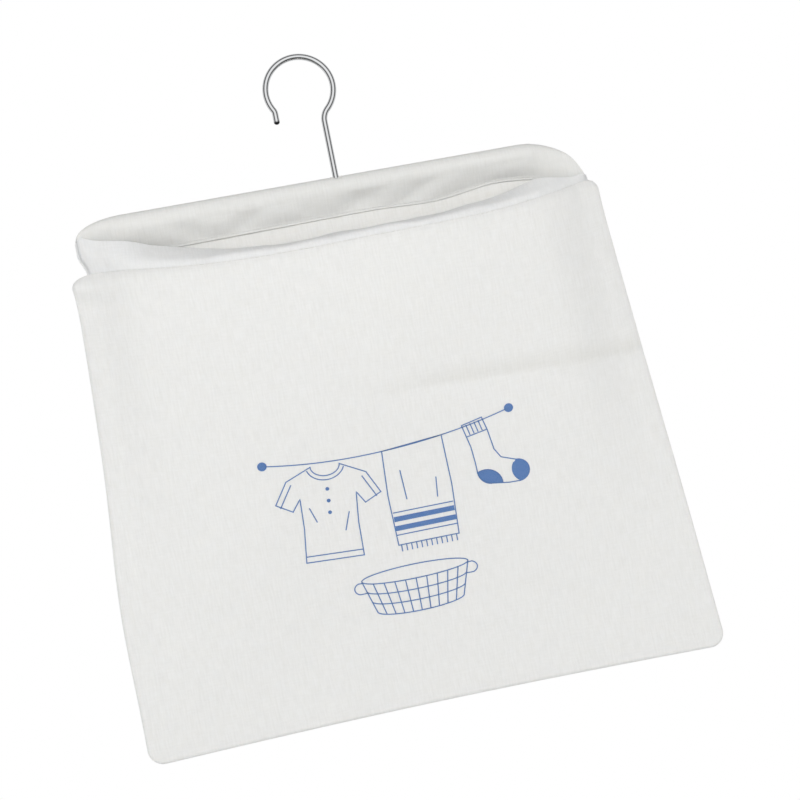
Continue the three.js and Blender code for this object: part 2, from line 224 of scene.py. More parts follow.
class PegBagHook(bpy.types.PropertyGroup):
    """The bent wire hook"""

    wire: length("Wire", "Diameter of the wire", 3.5)
    ring: length("Ring", "Inside diameter of the ring", 35)
    neck: length("Neck bend", "Radius of the bend above the shank, at the wire's middle", 10)
    tail_bend: length("Tail bend", "Radius of the bend at the ring's open end", 5)
    tail_offset: length("Tail offset", "The tail's distance from the ring's middle", 16.2)
    tail: length("Tail", "Length of the straight tail", 6.2)
    head: length("Head", "Diameter of the upset head", 6)
    head_thickness: length("Head thickness", "Thickness of the upset head", 1.2)
    tip_round: length("Tip round", "Round of the wire's cut end", 1.65)
    sides: IntProperty(name="Sides", description="Facets round the wire", default=32, min=8)
    colour: colour("Chrome", "Bright chrome", 0.80, 0.81, 0.82)
    edge_colour: colour("Chrome edge", "Chrome where it is seen at a slant", 0.62, 0.63, 0.65)
    # Painted dark reflection: near-black metal at the wire's cut end.
    tip_painted_reflection: colour("Bare end", "The wire's cut end, without chrome", 0.035, 0.035, 0.04)


class PegBagStage(bpy.types.PropertyGroup):
    """The camera, the lights and the floor"""

    aim: FloatVectorProperty(
        name="Aim", description="The point that the camera turns about", size=3,
        default=(0, 0, -190 * MM), unit="LENGTH",
    )
    distance: length("Distance", "From the aim to the camera", 900)
    yaw: angle("Yaw", "The camera stands to the left by this", 5.41)
    pitch: angle("Pitch", "The camera stands below by this", 6.575)
    roll: angle("Roll", "Turn of the picture", 11.31)
    lens: FloatProperty(name="Lens", description="Focal length in millimetres", default=72.87)
    shift: FloatVectorProperty(
        name="Shift", description="Shift of the picture, in picture widths", size=2,
        default=(0.0519, -0.0184),
    )
    ambient: strength("Ambient", "Light from all round", 0.6)
    ambient_above: strength("Ambient above", "Light from straight above", 0.28)
    key: power("Key light", "on the left", 12.2)
    fill: power("Fill light", "on the right", 9.7)
    overhead: power("Top light", "above", 0.05)
    rear: power("Rear light", "behind", 15)
    floor_drop: length("Floor drop", "The floor lies this far below the bag", 700)


# Shape of the bag
FLARE_FADE = 10 * MM  # the shoulder's flare runs out over this
BOW_HEIGHT = -208 * MM
BOW_SPREAD = 55 * MM
COLLAR_RISE = 12 * MM  # the notch widens to the collar over this
STITCH_WAVES = ((88, 18, 2.2), (48, 20, -1.6))  # place, width and height, in millimetres
MOUTH_POWER = (3, 4)  # the lip's sag is fuller on the right
SAG_POWER = 1.25
BOW_POWER = 2.2
SEAM_MARGIN = 1 * MM
BOTTOM_TILT = 1 * MM
FOLD_HEIGHT = -111.4 * MM  # the packing fold on the left; it drops towards the right
FOLD_DROP = 10.5 * MM
FOLD_RUN = 145 * MM
FOLD_START = -30 * MM
FOLD_FADE = 90 * MM
FOLD_WIDTHS = (7 * MM, 4 * MM)  # above the fold and below it
FOLD_ROUND = 0.04
BAND_FOOT = 4 * MM  # the painted shade band above the packing fold starts over this and is gone at its top
BAND_TOP = 14 * MM
BAND_FADE = 13 * MM
SHOULDER_DEPTH = 2.2 * MM  # the fold at the left shoulder
SHOULDER_FADE = 34 * MM
GROOVE_DEPTH = 0.55 * MM  # the groove along the hem's stitches
GROOVE_WIDTH = 1.8 * MM
RIDGE_FADE = 3 * MM
WAVE_FADE = 40 * MM  # soft waves run out towards the seams over this
SOFT_WAVES = (
    (310, 520, 0.9, 0.1), (-170, 230, 0.7, 0.55), (120, 150, 0.35, 0.3), (-83, 260, 0.25, 0.8),
)
PUCKERS = ((9.5, 1000, 0.16, 0.0), (14.0, 1000, 0.12, 0.4), (-23, 1000, 0.15, 0.7))
PUCKER_DROP = 9 * MM
PUCKER_FADE = 12 * MM
HEM_STAND = 0.3 * MM  # between the casing and the hem
HEM_SWELL = 0.5 * MM
HEM_ROUND = 5 * MM
HEM_TAIL = 2 * MM
HEM_WAVES = ((23, 60, 0.16, 0.2), (-41, 45, 0.22, 0.6), (67, 90, 0.3, 0.1))
ALLOWANCE_WAVES = ((37, 29, 0.12, 0.2), (-61, 53, 0.1, 0.6))
CASING_DENTS = (  # place, width, depth and slant, in millimetres
    (12, 14, 2.8, 6), (44, 9, 2.6, 10), (76, 9, 1.0, 4), (-18, 8, 1.0, -5), (-54, 9, 2.2, 5),
    (-86, 9, 1.9, -6), (-112, 10, 1.2, 4), (116, 8, 0.5, 5), (-137, 5, 1.8, 0),
)
COLLAR_ROWS = 6
CASING_ROUND = 6 * MM
CASING_LIFT = 0.15 * MM  # the turned edge stands off the cloth by this
ALLOWANCE_START = 2 * MM  # the allowances start this far inside the outline
ALLOWANCE_TOP = 4 * MM  # and end this far below the shoulder
DOWEL_FADE = 4 * MM
SKEW_START = 5 * MM
SKEW_RUN = 13 * MM


def smooth(value):
    """A share from 0 to 1 that starts and ends level."""
    value = np.clip(value, 0, 1)
    return value * value * (3 - 2 * value)


def rounding(distance, radius):
    """A share from 0 at an edge to 1 at the end of its round, along a quarter circle."""
    inside = 1 - np.clip(distance / radius, 0, 1)
    return np.sqrt(1 - inside ** 2)


def bell(value, middle, width):
    return np.exp(-((value - middle) / width) ** 2)


def ripple(x, z, terms):
    """Sum of slanting waves: each has its length across, its length down, its height and its start."""
    total = np.zeros(np.broadcast(x, z).shape)
    for across_mm, down_mm, height, start in terms:
        turn = TURN * (x / (across_mm * MM) + z / (down_mm * MM) + start)
        total = total + height * MM * np.sin(turn)
    return total


def points(x, y, z):
    return np.stack(np.broadcast_arrays(x, y, z), axis=-1)


def by_side(pair, x):
    return np.where(x < 0, pair[0], pair[1])


def straight_reach(bag, side, height):
    """From the shank to the straight side of the bag, with the shoulder's flare."""
    down = np.clip(bag.shoulder_height - height, 0, None)
    share = down / (bag.shoulder_height - BAG_BOTTOM)
    line = bag.shoulder_reach[side] + (bag.bottom_reach[side] - bag.shoulder_reach[side]) * share
    bow = bag.side_bow[side] * bell(height, BOW_HEIGHT, BOW_SPREAD)
    return line + bow + bag.shoulder_flare[side] * np.exp(-down / FLARE_FADE)


def outline_reach(bag, side, height):
    """From the shank to the outline: bottom corner, side, shoulder, notch and collar."""
    notch = bag.notch_reach[side]
    corner = rounding(height - BAG_BOTTOM, bag.corner_radius)
    body = straight_reach(bag, side, height) - bag.corner_radius * (1 - corner)
    ledge = rounding(bag.notch_height - height, bag.notch_height - bag.shoulder_height)
    widening = smooth((height - bag.notch_height) / COLLAR_RISE)
    collar = notch + (bag.collar_reach[side] - notch) * widening
    return np.where(height > bag.notch_height, collar, notch + (body - notch) * ledge)


def across(bag, share, height):
    """The place along the dowel, at a share of the bag's width from its left edge."""
    left = outline_reach(bag, 0, height)
    return share * (left + outline_reach(bag, 1, height)) - left


def side_distance(bag, x, height):
    """Distance of a point from the nearer side of the outline."""
    return np.minimum(x + outline_reach(bag, 0, height), outline_reach(bag, 1, height) - x)


def outline_distance(bag, x, height):
    """Distance of a point of the cloth from the sewn outline, round the bottom corners."""
    straight = np.minimum(straight_reach(bag, 0, height) + x, straight_reach(bag, 1, height) - x)
    side = np.where(height > bag.shoulder_height, side_distance(bag, x, height), straight)
    below = height - BAG_BOTTOM
    radius = bag.corner_radius
    corner = radius - np.hypot(np.clip(radius - side, 0, None), np.clip(radius - below, 0, None))
    return np.where((side < radius) & (below < radius), corner, np.minimum(side, below))


def past_bar(bag, x):
    """A share from 0 where the rim starts to droop to 1 at its end."""
    start = by_side(bag.droop_start, x)
    return np.clip((np.abs(x) - start) / (by_side(bag.collar_reach, x) - start), 0, 1)


def sleeve_radius(bag):
    return DOWEL_RADIUS + bag.sleeve_clearance + bag.thickness


def casing_radius(bag, x):
    full = sleeve_radius(bag)
    return full + (bag.droop_radius - full) * smooth(past_bar(bag, x))


def casing_top(bag, x):
    return sleeve_radius(bag) - by_side(bag.droop, x) * (1 - np.sqrt(1 - past_bar(bag, x) ** 2))


def casing_stitch(bag, x):
    """The casing's stitch line, a little uneven, lower at its ends."""
    wave = sum(high * MM * bell(x, place * MM, wide * MM) for place, wide, high in STITCH_WAVES)
    return bag.casing_stitch + wave - by_side(bag.stitch_drop, x) * smooth(past_bar(bag, x))


def casing_faces(bag):
    """The depths of the casing's outer faces at its stitches: at the back and at the front."""
    return bag.thickness / 2, -1.5 * bag.thickness - LAYER_GAP


def from_middle(bag, x, height):
    """A share from 0 at the middle of the mouth to 1 at the sides, and whether it is on the left."""
    offset = x - bag.mouth_centre
    left = outline_reach(bag, 0, height) + bag.mouth_centre
    right = outline_reach(bag, 1, height) - bag.mouth_centre
    span = np.where(offset < 0, left, right) - SEAM_MARGIN
    return np.clip(np.abs(offset) / span, 0, 1), offset < 0


def sag_share(bag, x, height):
    """How far the lip sags and leans back: 1 at its middle and 0 at its ends."""
    share, on_left = from_middle(bag, x, height)
    return (1 - share ** np.where(on_left, *MOUTH_POWER)) ** SAG_POWER


def bow_share(bag, x, height):
    """How far the front bows out: 1 at its middle and 0 at its sides."""
    return 1 - from_middle(bag, x, height)[0] ** BOW_POWER


def hem_depth(bag, x):
    """Depth of the hem: less on the right, least at its ends, and rounded at its left corner."""
    def past(side, start, run):
        return smooth((side * x - start * MM) / (run * MM))

    left = (bag.hem_end_depth[0] - bag.hem_depth) * past(-1, 110, 24) + 2.2 * MM * past(-1, 134, 12)
    right = (bag.hem_right_depth - bag.hem_depth) * past(1, 10, 60)
    right_end = (bag.hem_end_depth[1] - bag.hem_right_depth) * past(1, 102, 34)
    corner = 3 * MM * (1 - rounding(x + bag.notch_reach[0], 4 * MM))
    return bag.hem_depth + left + right + right_end - corner


def bottom_arch(bag, x, rise):
    share = x / bag.bottom_reach[0]
    return (bag.bottom_arch * np.cos(share * math.pi / 2) - BOTTOM_TILT * share) * (1 - rise)


def rise_share(bag, height):
    """A share from 0 above the bottom seam's allowance to 1 at the notch."""
    start = BAG_BOTTOM + bag.allowance
    return smooth((height - start) / (bag.notch_height - start))


def from_fold(x, height):
    """Height above the fold that packing left, and the fold's strength, which is full on the right."""
    above = height - FOLD_HEIGHT + FOLD_DROP * np.clip(x / FOLD_RUN, 0, 1) ** 2
    return above, smooth((x - FOLD_START) / FOLD_FADE)


def packing_fold(bag, x, height):
    """Depth of the packing fold, which is sharper below than above."""
    above, strong = from_fold(x, height)
    width = np.where(above > 0, *FOLD_WIDTHS)
    return bag.crease_depth * strong * np.exp(-np.sqrt((above / width) ** 2 + FOLD_ROUND))


def fold_painted_shades(bag, rows):
    """The painted shade along the packing fold on a cloth, row by row: it deepens down to the fold and
    ends there.
    """
    heights = panel_heights(bag)[:, None]
    above, strong = from_fold(across(bag, column_shares()[None, :], heights), heights)
    band = smooth((above + BAND_FOOT / 2) / BAND_FOOT) * smooth((BAND_TOP - above) / BAND_FADE)
    return np.pad(strong * band, ((0, rows - len(heights)), (0, 0)))


def sewn_ridge(bag, edge, rise):
    """The cloth stands out by its rise over the sewn allowance."""
    return rise * (1 - smooth((edge - bag.allowance + SEAM_MARGIN) / RIDGE_FADE))


def front_relief(bag, x, height, edge):
    """Small forms of the front: waves, folds, the ridge over the allowance, and puckers at the hem."""
    waves = ripple(x, height, SOFT_WAVES) * smooth(edge / WAVE_FADE)
    from_left = x + outline_reach(bag, 0, height)
    shoulder = bell(height, -29 * MM, 4 * MM) - 0.9 * bell(height, -38 * MM, 5 * MM)
    shoulder = SHOULDER_DEPTH * shoulder * np.exp(-from_left / SHOULDER_FADE)
    below = bag.notch_height - height
    groove = GROOVE_DEPTH * bell(below, 0, GROOVE_WIDTH)
    pucker = ripple(x, 0 * height, PUCKERS) * np.exp(-below / PUCKER_DROP)
    pucker = pucker * smooth(edge / PUCKER_FADE)
    ridge = sewn_ridge(bag, edge, 0.35 * MM)
    return waves + shoulder + ridge + pucker - groove - packing_fold(bag, x, height)


def front_point(bag, x, height):
    """A point on the front cloth's outer face. Height is measured on the cloth, at the bag's sides."""
    rise = rise_share(bag, height)
    stand = casing_radius(bag, x) + HEM_STAND + 2 * bag.hem_fold
    out = bow_share(bag, x, height)
    bow = bag.mouth_gap * out + bag.hem_depth * np.sin(bag.hem_lean * out)
    edge = outline_distance(bag, x, height)
    depth = bag.body_depth + (stand + bow - bag.body_depth) * rise
    depth = depth + front_relief(bag, x, height, edge)
    y = -(bag.seam_depth + (depth - bag.seam_depth) * rounding(edge, bag.edge_roll))
    z = height - bag.stitch_sag * sag_share(bag, x, height) * rise + bottom_arch(bag, x, rise)
    return points(x, y, z)


def back_point(bag, x, height):
    """A point on the outer face of the back cloth, whose waves lie in the front's."""
    edge = outline_distance(bag, x, height)
    rise = rise_share(bag, height)
    waves = ripple(x, height, SOFT_WAVES) * smooth(edge / WAVE_FADE) * (1 - 0.8 * rise)
    ridge = sewn_ridge(bag, edge, 0.3 * MM)
    depth = bag.thickness / 2 + ridge + packing_fold(bag, x, height) - waves
    y = (depth + bag.seam_depth) * rounding(edge, bag.edge_roll) - bag.seam_depth
    return points(x, y, height + bottom_arch(bag, x, rise))


def column_shares(count=176, edge_share=0.0085, edge_steps=6):
    """Columns across the bag, closer together where a cloth turns in to its side seams."""
    turn = edge_share * (1 - np.cos(np.linspace(0, math.pi / 2, edge_steps + 1)))
    middle = np.linspace(edge_share, 1 - edge_share, count)
    return np.concatenate([turn[:-1], middle, 1 - turn[:-1][::-1]])


def panel_heights(bag, upper_foot=-50 * MM, corner=11, body=106, upper=13, ledge=10):
    """Rows up a cloth from the bottom seam to the notch, closer together near the notch."""
    turn = bag.corner_radius * (1 - np.cos(np.linspace(0, math.pi / 2, corner)))
    side = np.linspace(BAG_BOTTOM + bag.corner_radius, upper_foot, body)
    shoulder = np.linspace(upper_foot, bag.shoulder_height, upper)
    drop = bag.notch_height - bag.shoulder_height
    notch = bag.notch_height - drop * (1 - np.sin(np.linspace(0, math.pi / 2, ledge)))
    return np.concatenate([BAG_BOTTOM + turn, side[1:], shoulder[1:], notch[1:]])


def hem_layers(bag, share, foot, rows=15, lip_rows=8):
    """Rows of the hem above its stitches: outer layer, fold at the lip and turned-in layer."""
    x = foot[:, 0]
    bow = sag_share(bag, x, np.full_like(x, bag.notch_height))
    run = np.linspace(0, 1, rows)[:, None] * hem_depth(bag, x)
    lean = bag.hem_lean * bow * smooth(run / bag.hem_bend)
    middle = (lean[1:] + lean[:-1]) / 2
    step = np.diff(run, axis=0)
    start = np.zeros((1, len(x)))
    back = np.concatenate([start, np.cumsum(np.sin(middle) * step, axis=0)])
    up = np.concatenate([start, np.cumsum(np.cos(middle) * step, axis=0)])
    place = across(bag, share[None, :], bag.notch_height + run)
    inward = points(0 * lean, np.cos(lean), -np.sin(lean))
    turned = rounding(side_distance(bag, place, bag.notch_height + run), HEM_ROUND)[..., None]
    swell = HEM_SWELL * np.sin(math.pi * np.clip(run / bag.hem_depth, 0, 1))
    soft = swell + ripple(place, run, HEM_WAVES) * smooth(run / (6 * MM))
    outer = points(place, foot[:, 1] + back, foot[:, 2] + up) - inward * turned * soft[..., None]
    fold = bag.hem_fold * np.clip(turned, 0.25, 1)
    along = points(0 * lean[-1], np.sin(lean[-1]), np.cos(lean[-1]))
    lip = [
        outer[-1] + fold[-1] * (math.sin(turn) * along + (1 - math.cos(turn)) * inward[-1])
        for turn in np.linspace(0, math.pi, lip_rows)[1:-1]
    ]
    inner = (outer + 2 * fold * inward)[::-1]
    tail = inner[-1] - np.array([0, 0, HEM_TAIL])
    return np.concatenate([outer[1:], np.array(lip), inner, tail[None]])


def front_grid(bag):
    share = column_shares()
    heights = panel_heights(bag)[:, None]
    panel = front_point(bag, across(bag, share[None, :], heights), heights)
    return np.concatenate([panel, hem_layers(bag, share, panel[-1])])


def casing_rows(bag, share, foot, back_rows=9, round_rows=29, front_rows=11):
    """Rows of the casing: up the back, over the dowel, down the front and below the stitches."""
    x = across(bag, share, foot)
    radius = casing_radius(bag, x)
    middle = casing_top(bag, x) - radius
    stitch = casing_stitch(bag, x)
    drop = middle - stitch
    back_face, front_face = casing_faces(bag)

    def touch(tip):
        """The turn at which a straight run of cloth from the stitches meets the round."""
        return np.arctan2(tip, drop) + np.arccos(np.clip(radius / np.hypot(tip, drop), -1, 1))

    def round_point(turn):
        return radius * np.sin(turn), middle - radius * np.cos(turn)

    first = touch(back_face)
    last = TURN - touch(-front_face)
    y, z = round_point(first)
    rows = [
        (back_face + (y - back_face) * step, stitch + (z - stitch) * step)
        for step in np.linspace(0, 1, back_rows)[1:-1]
    ]
    rows += [round_point(first + (last - first) * step) for step in np.linspace(0, 1, round_rows)]
    y, z = round_point(last)
    for step in np.linspace(0, 1, front_rows)[1:]:
        dent = sum(
            deep * MM * bell(x, (place + slant * (0.5 - step)) * MM, wide * MM)
            for place, wide, deep, slant in CASING_DENTS
        )
        soft = (dent - bag.casing_bulge) * math.sin(math.pi * step)
        rows.append((y + (front_face - y) * step + soft, z + (stitch - z) * step))
    rows.append((front_face - CASING_LIFT + 0 * x, stitch - bag.casing_tail))
    turned = rounding(side_distance(bag, x, foot), CASING_ROUND)
    y = np.array([row[0] for row in rows])
    z = np.array([row[1] for row in rows])
    place = across(bag, share, np.minimum(z, foot))
    return points(place, (y + bag.seam_depth) * turned - bag.seam_depth, z)


def back_grid(bag):
    share = column_shares()
    heights = panel_heights(bag)[:, None]
    panel = back_point(bag, across(bag, share[None, :], heights), heights)
    foot = bag.notch_height + COLLAR_RISE
    line = casing_stitch(bag, across(bag, share, foot))
    steps = np.linspace(0, 1, COLLAR_ROWS + 1)[1:, None]
    height = bag.notch_height + (line - bag.notch_height) * steps
    place = across(bag, share, np.minimum(height, foot))
    collar = back_point(bag, place, np.maximum(height, bag.notch_height))
    collar[..., 2] = height
    return np.concatenate([panel, collar, casing_rows(bag, share, foot)])


def off_dowel(bag, x, y, z):
    """The factor that pushes cloth out from the dowel's axis, to lie on the wood and not in it."""
    least = DOWEL_RADIUS + bag.thickness + LAYER_GAP
    over_wood = smooth((DOWEL_REACH + DOWEL_FADE - np.abs(x)) / DOWEL_FADE)
    return 1 + over_wood * np.maximum(least / np.hypot(y, z) - 1, 0)


def in_frame(bag, local):
    """Points of the bag, askew below the dowel, turned by its lean and set on the dowel's axis."""
    cosine, sine = math.cos(bag.lean), math.sin(bag.lean)
    askew = bag.skew * smooth((SKEW_START - local[..., 2]) / SKEW_RUN)
    x = local[..., 0] * np.cos(askew) - local[..., 2] * np.sin(askew)
    z = local[..., 0] * np.sin(askew) + local[..., 2] * np.cos(askew)
    push = off_dowel(bag, x, local[..., 1], z)
    y, z = local[..., 1] * push, z * push
    return points(x + AXIS.x, y * cosine - z * sine + AXIS.y, y * sine + z * cosine + AXIS.z)


def upright(bag, rows):
    """Rows that stand upright over the dowel, turned back by the bag's lean."""
    cosine, sine = math.cos(bag.lean), math.sin(bag.lean)
    x, y, z = rows.T
    return points(x, y * cosine + z * sine, z * cosine - y * sine)


# Making and finishing pieces
def new_piece(name, vertices, faces):
    mesh = bpy.data.meshes.new(name)
    mesh.from_pydata(np.asarray(vertices).reshape(-1, 3).tolist(), [], faces)
    mesh.update()
    piece = bpy.data.objects.new(name, mesh)
    bpy.context.scene.collection.objects.link(piece)
    return piece


def only(piece):
    """Selects one piece alone and makes it active."""
    bpy.ops.object.select_all(action="DESELECT")
    piece.select_set(True)
    bpy.context.view_layer.objects.active = piece


def lay_flat(piece, cut, corners):
    """Keeps a cloth's cut shape as its UV map."""
    layer = piece.data.uv_layers.new(name="cut")
    layer.data.foreach_set("uv", cut[corners].astype(np.float32).ravel())


def grid_piece(name, local, bag, stitch_row=-1, flip=False, shades=None):
    """A sheet of cloth from a grid of points, whose cut shape is measured up from a row of stitches.

    The painted shade along its packing fold is kept as an attribute.
    """
    rows, columns = local.shape[:2]
    corner = (np.arange(rows - 1)[:, None] * columns + np.arange(columns - 1)).ravel()
    quads = np.stack([corner, corner + 1, corner + columns + 1, corner + columns], axis=1)
    if flip:
        quads = quads[:, ::-1]
    piece = new_piece(name, in_frame(bag, local), quads.tolist())
    steps = np.linalg.norm(np.diff(local[:, columns // 2], axis=0), axis=1)
    up = np.concatenate([[0], np.cumsum(steps)])
    up = up - up[stitch_row]
    cut = np.stack(np.broadcast_arrays(local[..., 0], up[:, None]), axis=-1).reshape(-1, 2)
    lay_flat(piece, cut, quads.ravel())
    if shades is not None:
        kept = piece.data.attributes.new("fold_shade", "FLOAT", "POINT")
        kept.data.foreach_set("value", shades.astype(np.float32).ravel())
    return piece


def apply_modifier(piece, kind, **values):
    only(piece)
    bpy.ops.object.modifier_add(type=kind)
    modifier = piece.modifiers[-1]
    for name, value in values.items():
        setattr(modifier, name, value)
    bpy.ops.object.modifier_apply(modifier=modifier.name)


def smooth_shade(piece, degrees):
    only(piece)
    bpy.ops.object.shade_smooth_by_angle(angle=math.radians(degrees))


def dress(piece, material, body, replaced=()):
    """Gives a finished piece its material and tells the frame what it is."""
    piece.data.materials.clear()
    piece.data.materials.append(material)
    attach(piece, body)
    if replaced:
        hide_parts(*replaced)


# Shader node groups and materials
NODE_SPACING = 190
WOOD_DARK = (0.58, 0.38, 0.20, 1)
WOOD_LIGHT = (0.74, 0.54, 0.33, 1)
WOOD_FLECK = (0.42, 0.25, 0.12, 1)
ZINC = (0.58, 0.59, 0.60)


class Nodes:
    """A short way to add and link the nodes of one tree."""

    def __init__(self, tree):
        self.tree = tree
        tree.nodes.clear()

    def add(self, kind, settings=None, **sockets):
        """Adds a node. A socket goes by its name, with _ for each space, or by its number, as _0."""
        node = self.tree.nodes.new(kind)
        node.location = (NODE_SPACING * len(self.tree.nodes), 0)
        for name, value in (settings or {}).items():
            setattr(node, name, value)
        for name, value in sockets.items():
            by_number = name[1:].isdigit()
            self.feed(node, int(name[1:]) if by_number else name.replace("_", " "), value)
        return node

    def feed(self, node, socket, value):
        """Links an output to a node's socket, or sets the socket to a constant."""
        target = node.inputs[socket]
        if isinstance(value, bpy.types.NodeSocket):
            self.tree.links.new(value, target)
        else:
            target.default_value = value

    def maths(self, operation, *values, clamp=False):
        node = self.add("ShaderNodeMath", {"operation": operation, "use_clamp": clamp})
        for index, value in enumerate(values):
            self.feed(node, index, value)
        return node.outputs[0]

    def plus(self, first, second, clamp=False):
        return self.maths("ADD", first, second, clamp=clamp)

    def minus(self, first, second):
        return self.maths("SUBTRACT", first, second)

    def times(self, first, second):
        return self.maths("MULTIPLY", first, second)

    def place(self):
        """The piece's own coordinates."""
        return self.add("ShaderNodeTexCoord").outputs["Object"]

    def noise(self, vector, scale, detail=2.0, roughness=0.5):
        node = self.add(
            "ShaderNodeTexNoise", Vector=vector, Scale=scale, Detail=detail, Roughness=roughness
        )
        return node.outputs["Fac"]

    def streaks(self, vector, scale, detail=2.0, roughness=0.5):
        """Noise that is drawn out by its own scale along each axis."""
        node = self.add("ShaderNodeMapping", Vector=vector, Scale=scale)
        return self.noise(node.outputs[0], 1.0, detail, roughness)

    def spread(self, value, low, high, to_low=0.0, to_high=1.0):
        """A value between two bounds, spread between two others."""
        node = self.add(
            "ShaderNodeMapRange", Value=value,
            From_Min=low, From_Max=high, To_Min=to_low, To_Max=to_high,
        )
        return node.outputs[0]

    def blend(self, share, first, second, kind="MIX"):
        node = self.add("ShaderNodeMix", {"data_type": "RGBA", "blend_type": kind})
        for index, value in ((0, share), (6, first), (7, second)):
            self.feed(node, index, value)
        return node.outputs[2]


def group_tree(name, inputs, outputs):
    """A new node group with its helper, its inputs and its output node."""
    tree = bpy.data.node_groups.new(name, "ShaderNodeTree")
    for way, sockets in (("INPUT", inputs), ("OUTPUT", outputs)):
        for label, kind in sockets.items():
            tree.interface.new_socket(label, in_out=way, socket_type="NodeSocket" + kind)
    nodes = Nodes(tree)
    return tree, nodes, nodes.add("NodeGroupInput").outputs, nodes.add("NodeGroupOutput")


def weave_group():
    """Plain weave with slubs: the threads' height, a tint and the gaps between threads. The tint is
    partly painted shade, darker where the threads lie deeper, and partly the cloth's own uneven slubs
    and patches.
    """
    found = bpy.data.node_groups.get("Plain weave")
    if found:
        return found
    tree, nodes, given, out = group_tree(
        "Plain weave",
        {"Cloth": "Vector", "Threads": "Float", "Slubs": "Float"},
        {"Tint": "Float", "Height": "Float", "Gaps": "Float"},
    )
    cloth = given["Cloth"]
    wander = nodes.times(nodes.noise(cloth, 420), 0.7)
    counted = nodes.add(
        "ShaderNodeVectorMath", {"operation": "SCALE"}, _0=cloth, Scale=given["Threads"]
    )
    split = nodes.add("ShaderNodeSeparateXYZ", _0=counted.outputs[0]).outputs
    warp, weft = (
        nodes.maths("SINE", nodes.times(nodes.plus(way, wander), math.pi)) for way in split[:2]
    )
    over = nodes.times(nodes.times(warp, weft), 0.4)
    warp_top = nodes.times(nodes.maths("ABSOLUTE", warp), nodes.plus(0.6, over))
    weft_top = nodes.times(nodes.maths("ABSOLUTE", weft), nodes.minus(0.6, over))
    threads = nodes.maths("MAXIMUM", warp_top, weft_top)
    warp_slub = nodes.streaks(cloth, (1000, 110, 1))
    weft_slub = nodes.streaks(cloth, (160, 1000, 1))
    slubs = nodes.minus(nodes.plus(warp_slub, nodes.times(weft_slub, 0.5)), 0.75)
    slubs = nodes.times(slubs, given["Slubs"])
    patches = nodes.minus(nodes.noise(cloth, 150, 5.0, 0.7), 0.5)
    # Painted shade: deeper threads are darker; the patches and slubs are the cloth's own uneven tone.
    tint = nodes.plus(nodes.times(threads, 0.35), nodes.times(patches, 0.5))
    nodes.feed(out, "Tint", nodes.plus(nodes.plus(tint, slubs), 0.35, clamp=True))
    nodes.feed(out, "Height", nodes.plus(threads, nodes.times(slubs, 0.8)))
    nodes.feed(out, "Gaps", nodes.spread(threads, 0.62, 0.3))
    return tree


def smudge_group():
    """Faint handling marks on bare metal, as a roughness."""
    found = bpy.data.node_groups.get("Handling marks")
    if found:
        return found
    tree, nodes, given, out = group_tree(
        "Handling marks",
        {"Place": "Vector", "Low": "Float", "High": "Float"},
        {"Roughness": "Float", "Height": "Float"},
    )
    marks = nodes.noise(given["Place"], 260, 4.0)
    lines = nodes.streaks(given["Place"], (2600, 2600, 90))
    mixed = nodes.plus(nodes.times(marks, 0.85), nodes.times(lines, 0.15))
    nodes.feed(out, "Roughness", nodes.spread(mixed, 0.35, 0.7, given["Low"], given["High"]))
    nodes.feed(out, "Height", lines)
    return tree


def new_material(name):
    material = bpy.data.materials.new(name)
    material.use_nodes = True
    nodes = Nodes(material.node_tree)
    shader = nodes.add("ShaderNodeBsdfPrincipled")
    nodes.add("ShaderNodeOutputMaterial", Surface=shader.outputs[0])
    return material, nodes, shader


def bump(nodes, shader, height, strong, distance):
    node = nodes.add("ShaderNodeBump", Strength=strong, Distance=distance, Height=height)
    nodes.feed(shader, "Normal", node.outputs[0])


COTTON_FINISH = {  # the same all over the cloth, which lets some light through
    "Specular IOR Level": 0.2,
    "Subsurface Weight": 0.5,
    "Subsurface Radius": (1.0, 0.95, 0.88),
    "Subsurface Scale": 1.5 * MM,
    "Sheen Weight": 0.08,
    "Sheen Roughness": 0.6,
}


def woven_material(name, light, dark, slubs, relief, on_gaps=False, past_stitches=None, fold=None):
    """Woven cotton on a piece's cut shape, or ink on it that misses the gaps between threads.

    The cloth can have other tones: past the row of stitches where its cut shape has its zero (painted
    light on the front's hem, painted shade on the back's casing), and painted shade along its fold.
    """
    material, nodes, shader = new_material(name)
    cloth = nodes.add("ShaderNodeUVMap", {"uv_map": "cut"}).outputs[0]
    weave = nodes.add(
        "ShaderNodeGroup", {"node_tree": weave_group()}, Cloth=cloth, Threads=WEAVE, Slubs=slubs
    ).outputs
    share = nodes.minus(1.0, weave["Gaps"]) if on_gaps else weave["Tint"]
    base = nodes.blend(share, (*dark, 1), (*light, 1))
    # Past the stitches: painted light on the front's hem, painted shade on the back's casing.
    if past_stitches:
        up = nodes.add("ShaderNodeSeparateXYZ", _0=cloth).outputs[1]
        past = nodes.spread(up, -0.5 * MM, 0.5 * MM)
        base = nodes.blend(past, base, (*past_stitches, 1), "MULTIPLY")
    # Painted shade: a darker band just above the packing fold, read from the cloth's attribute.
    if fold:
        band = nodes.add("ShaderNodeAttribute", {"attribute_name": "fold_shade"}).outputs["Fac"]
        base = nodes.blend(band, base, (*fold, 1), "MULTIPLY")
    nodes.feed(shader, "Base Color", base)
    nodes.feed(shader, "Roughness", nodes.spread(weave["Height"], 0.0, 1.0, 0.96, 0.84))
    for socket, value in COTTON_FINISH.items():
        nodes.feed(shader, socket, value)
    bump(nodes, shader, weave["Height"], relief, 0.25 * MM)
    return material


def cotton_material(bag, name, past_stitches):
    found = bpy.data.materials.get(name)
    return found or woven_material(
        name, bag.colour, bag.shade, 1.5, 0.4, past_stitches=past_stitches, fold=bag.painted_fold_tone
    )


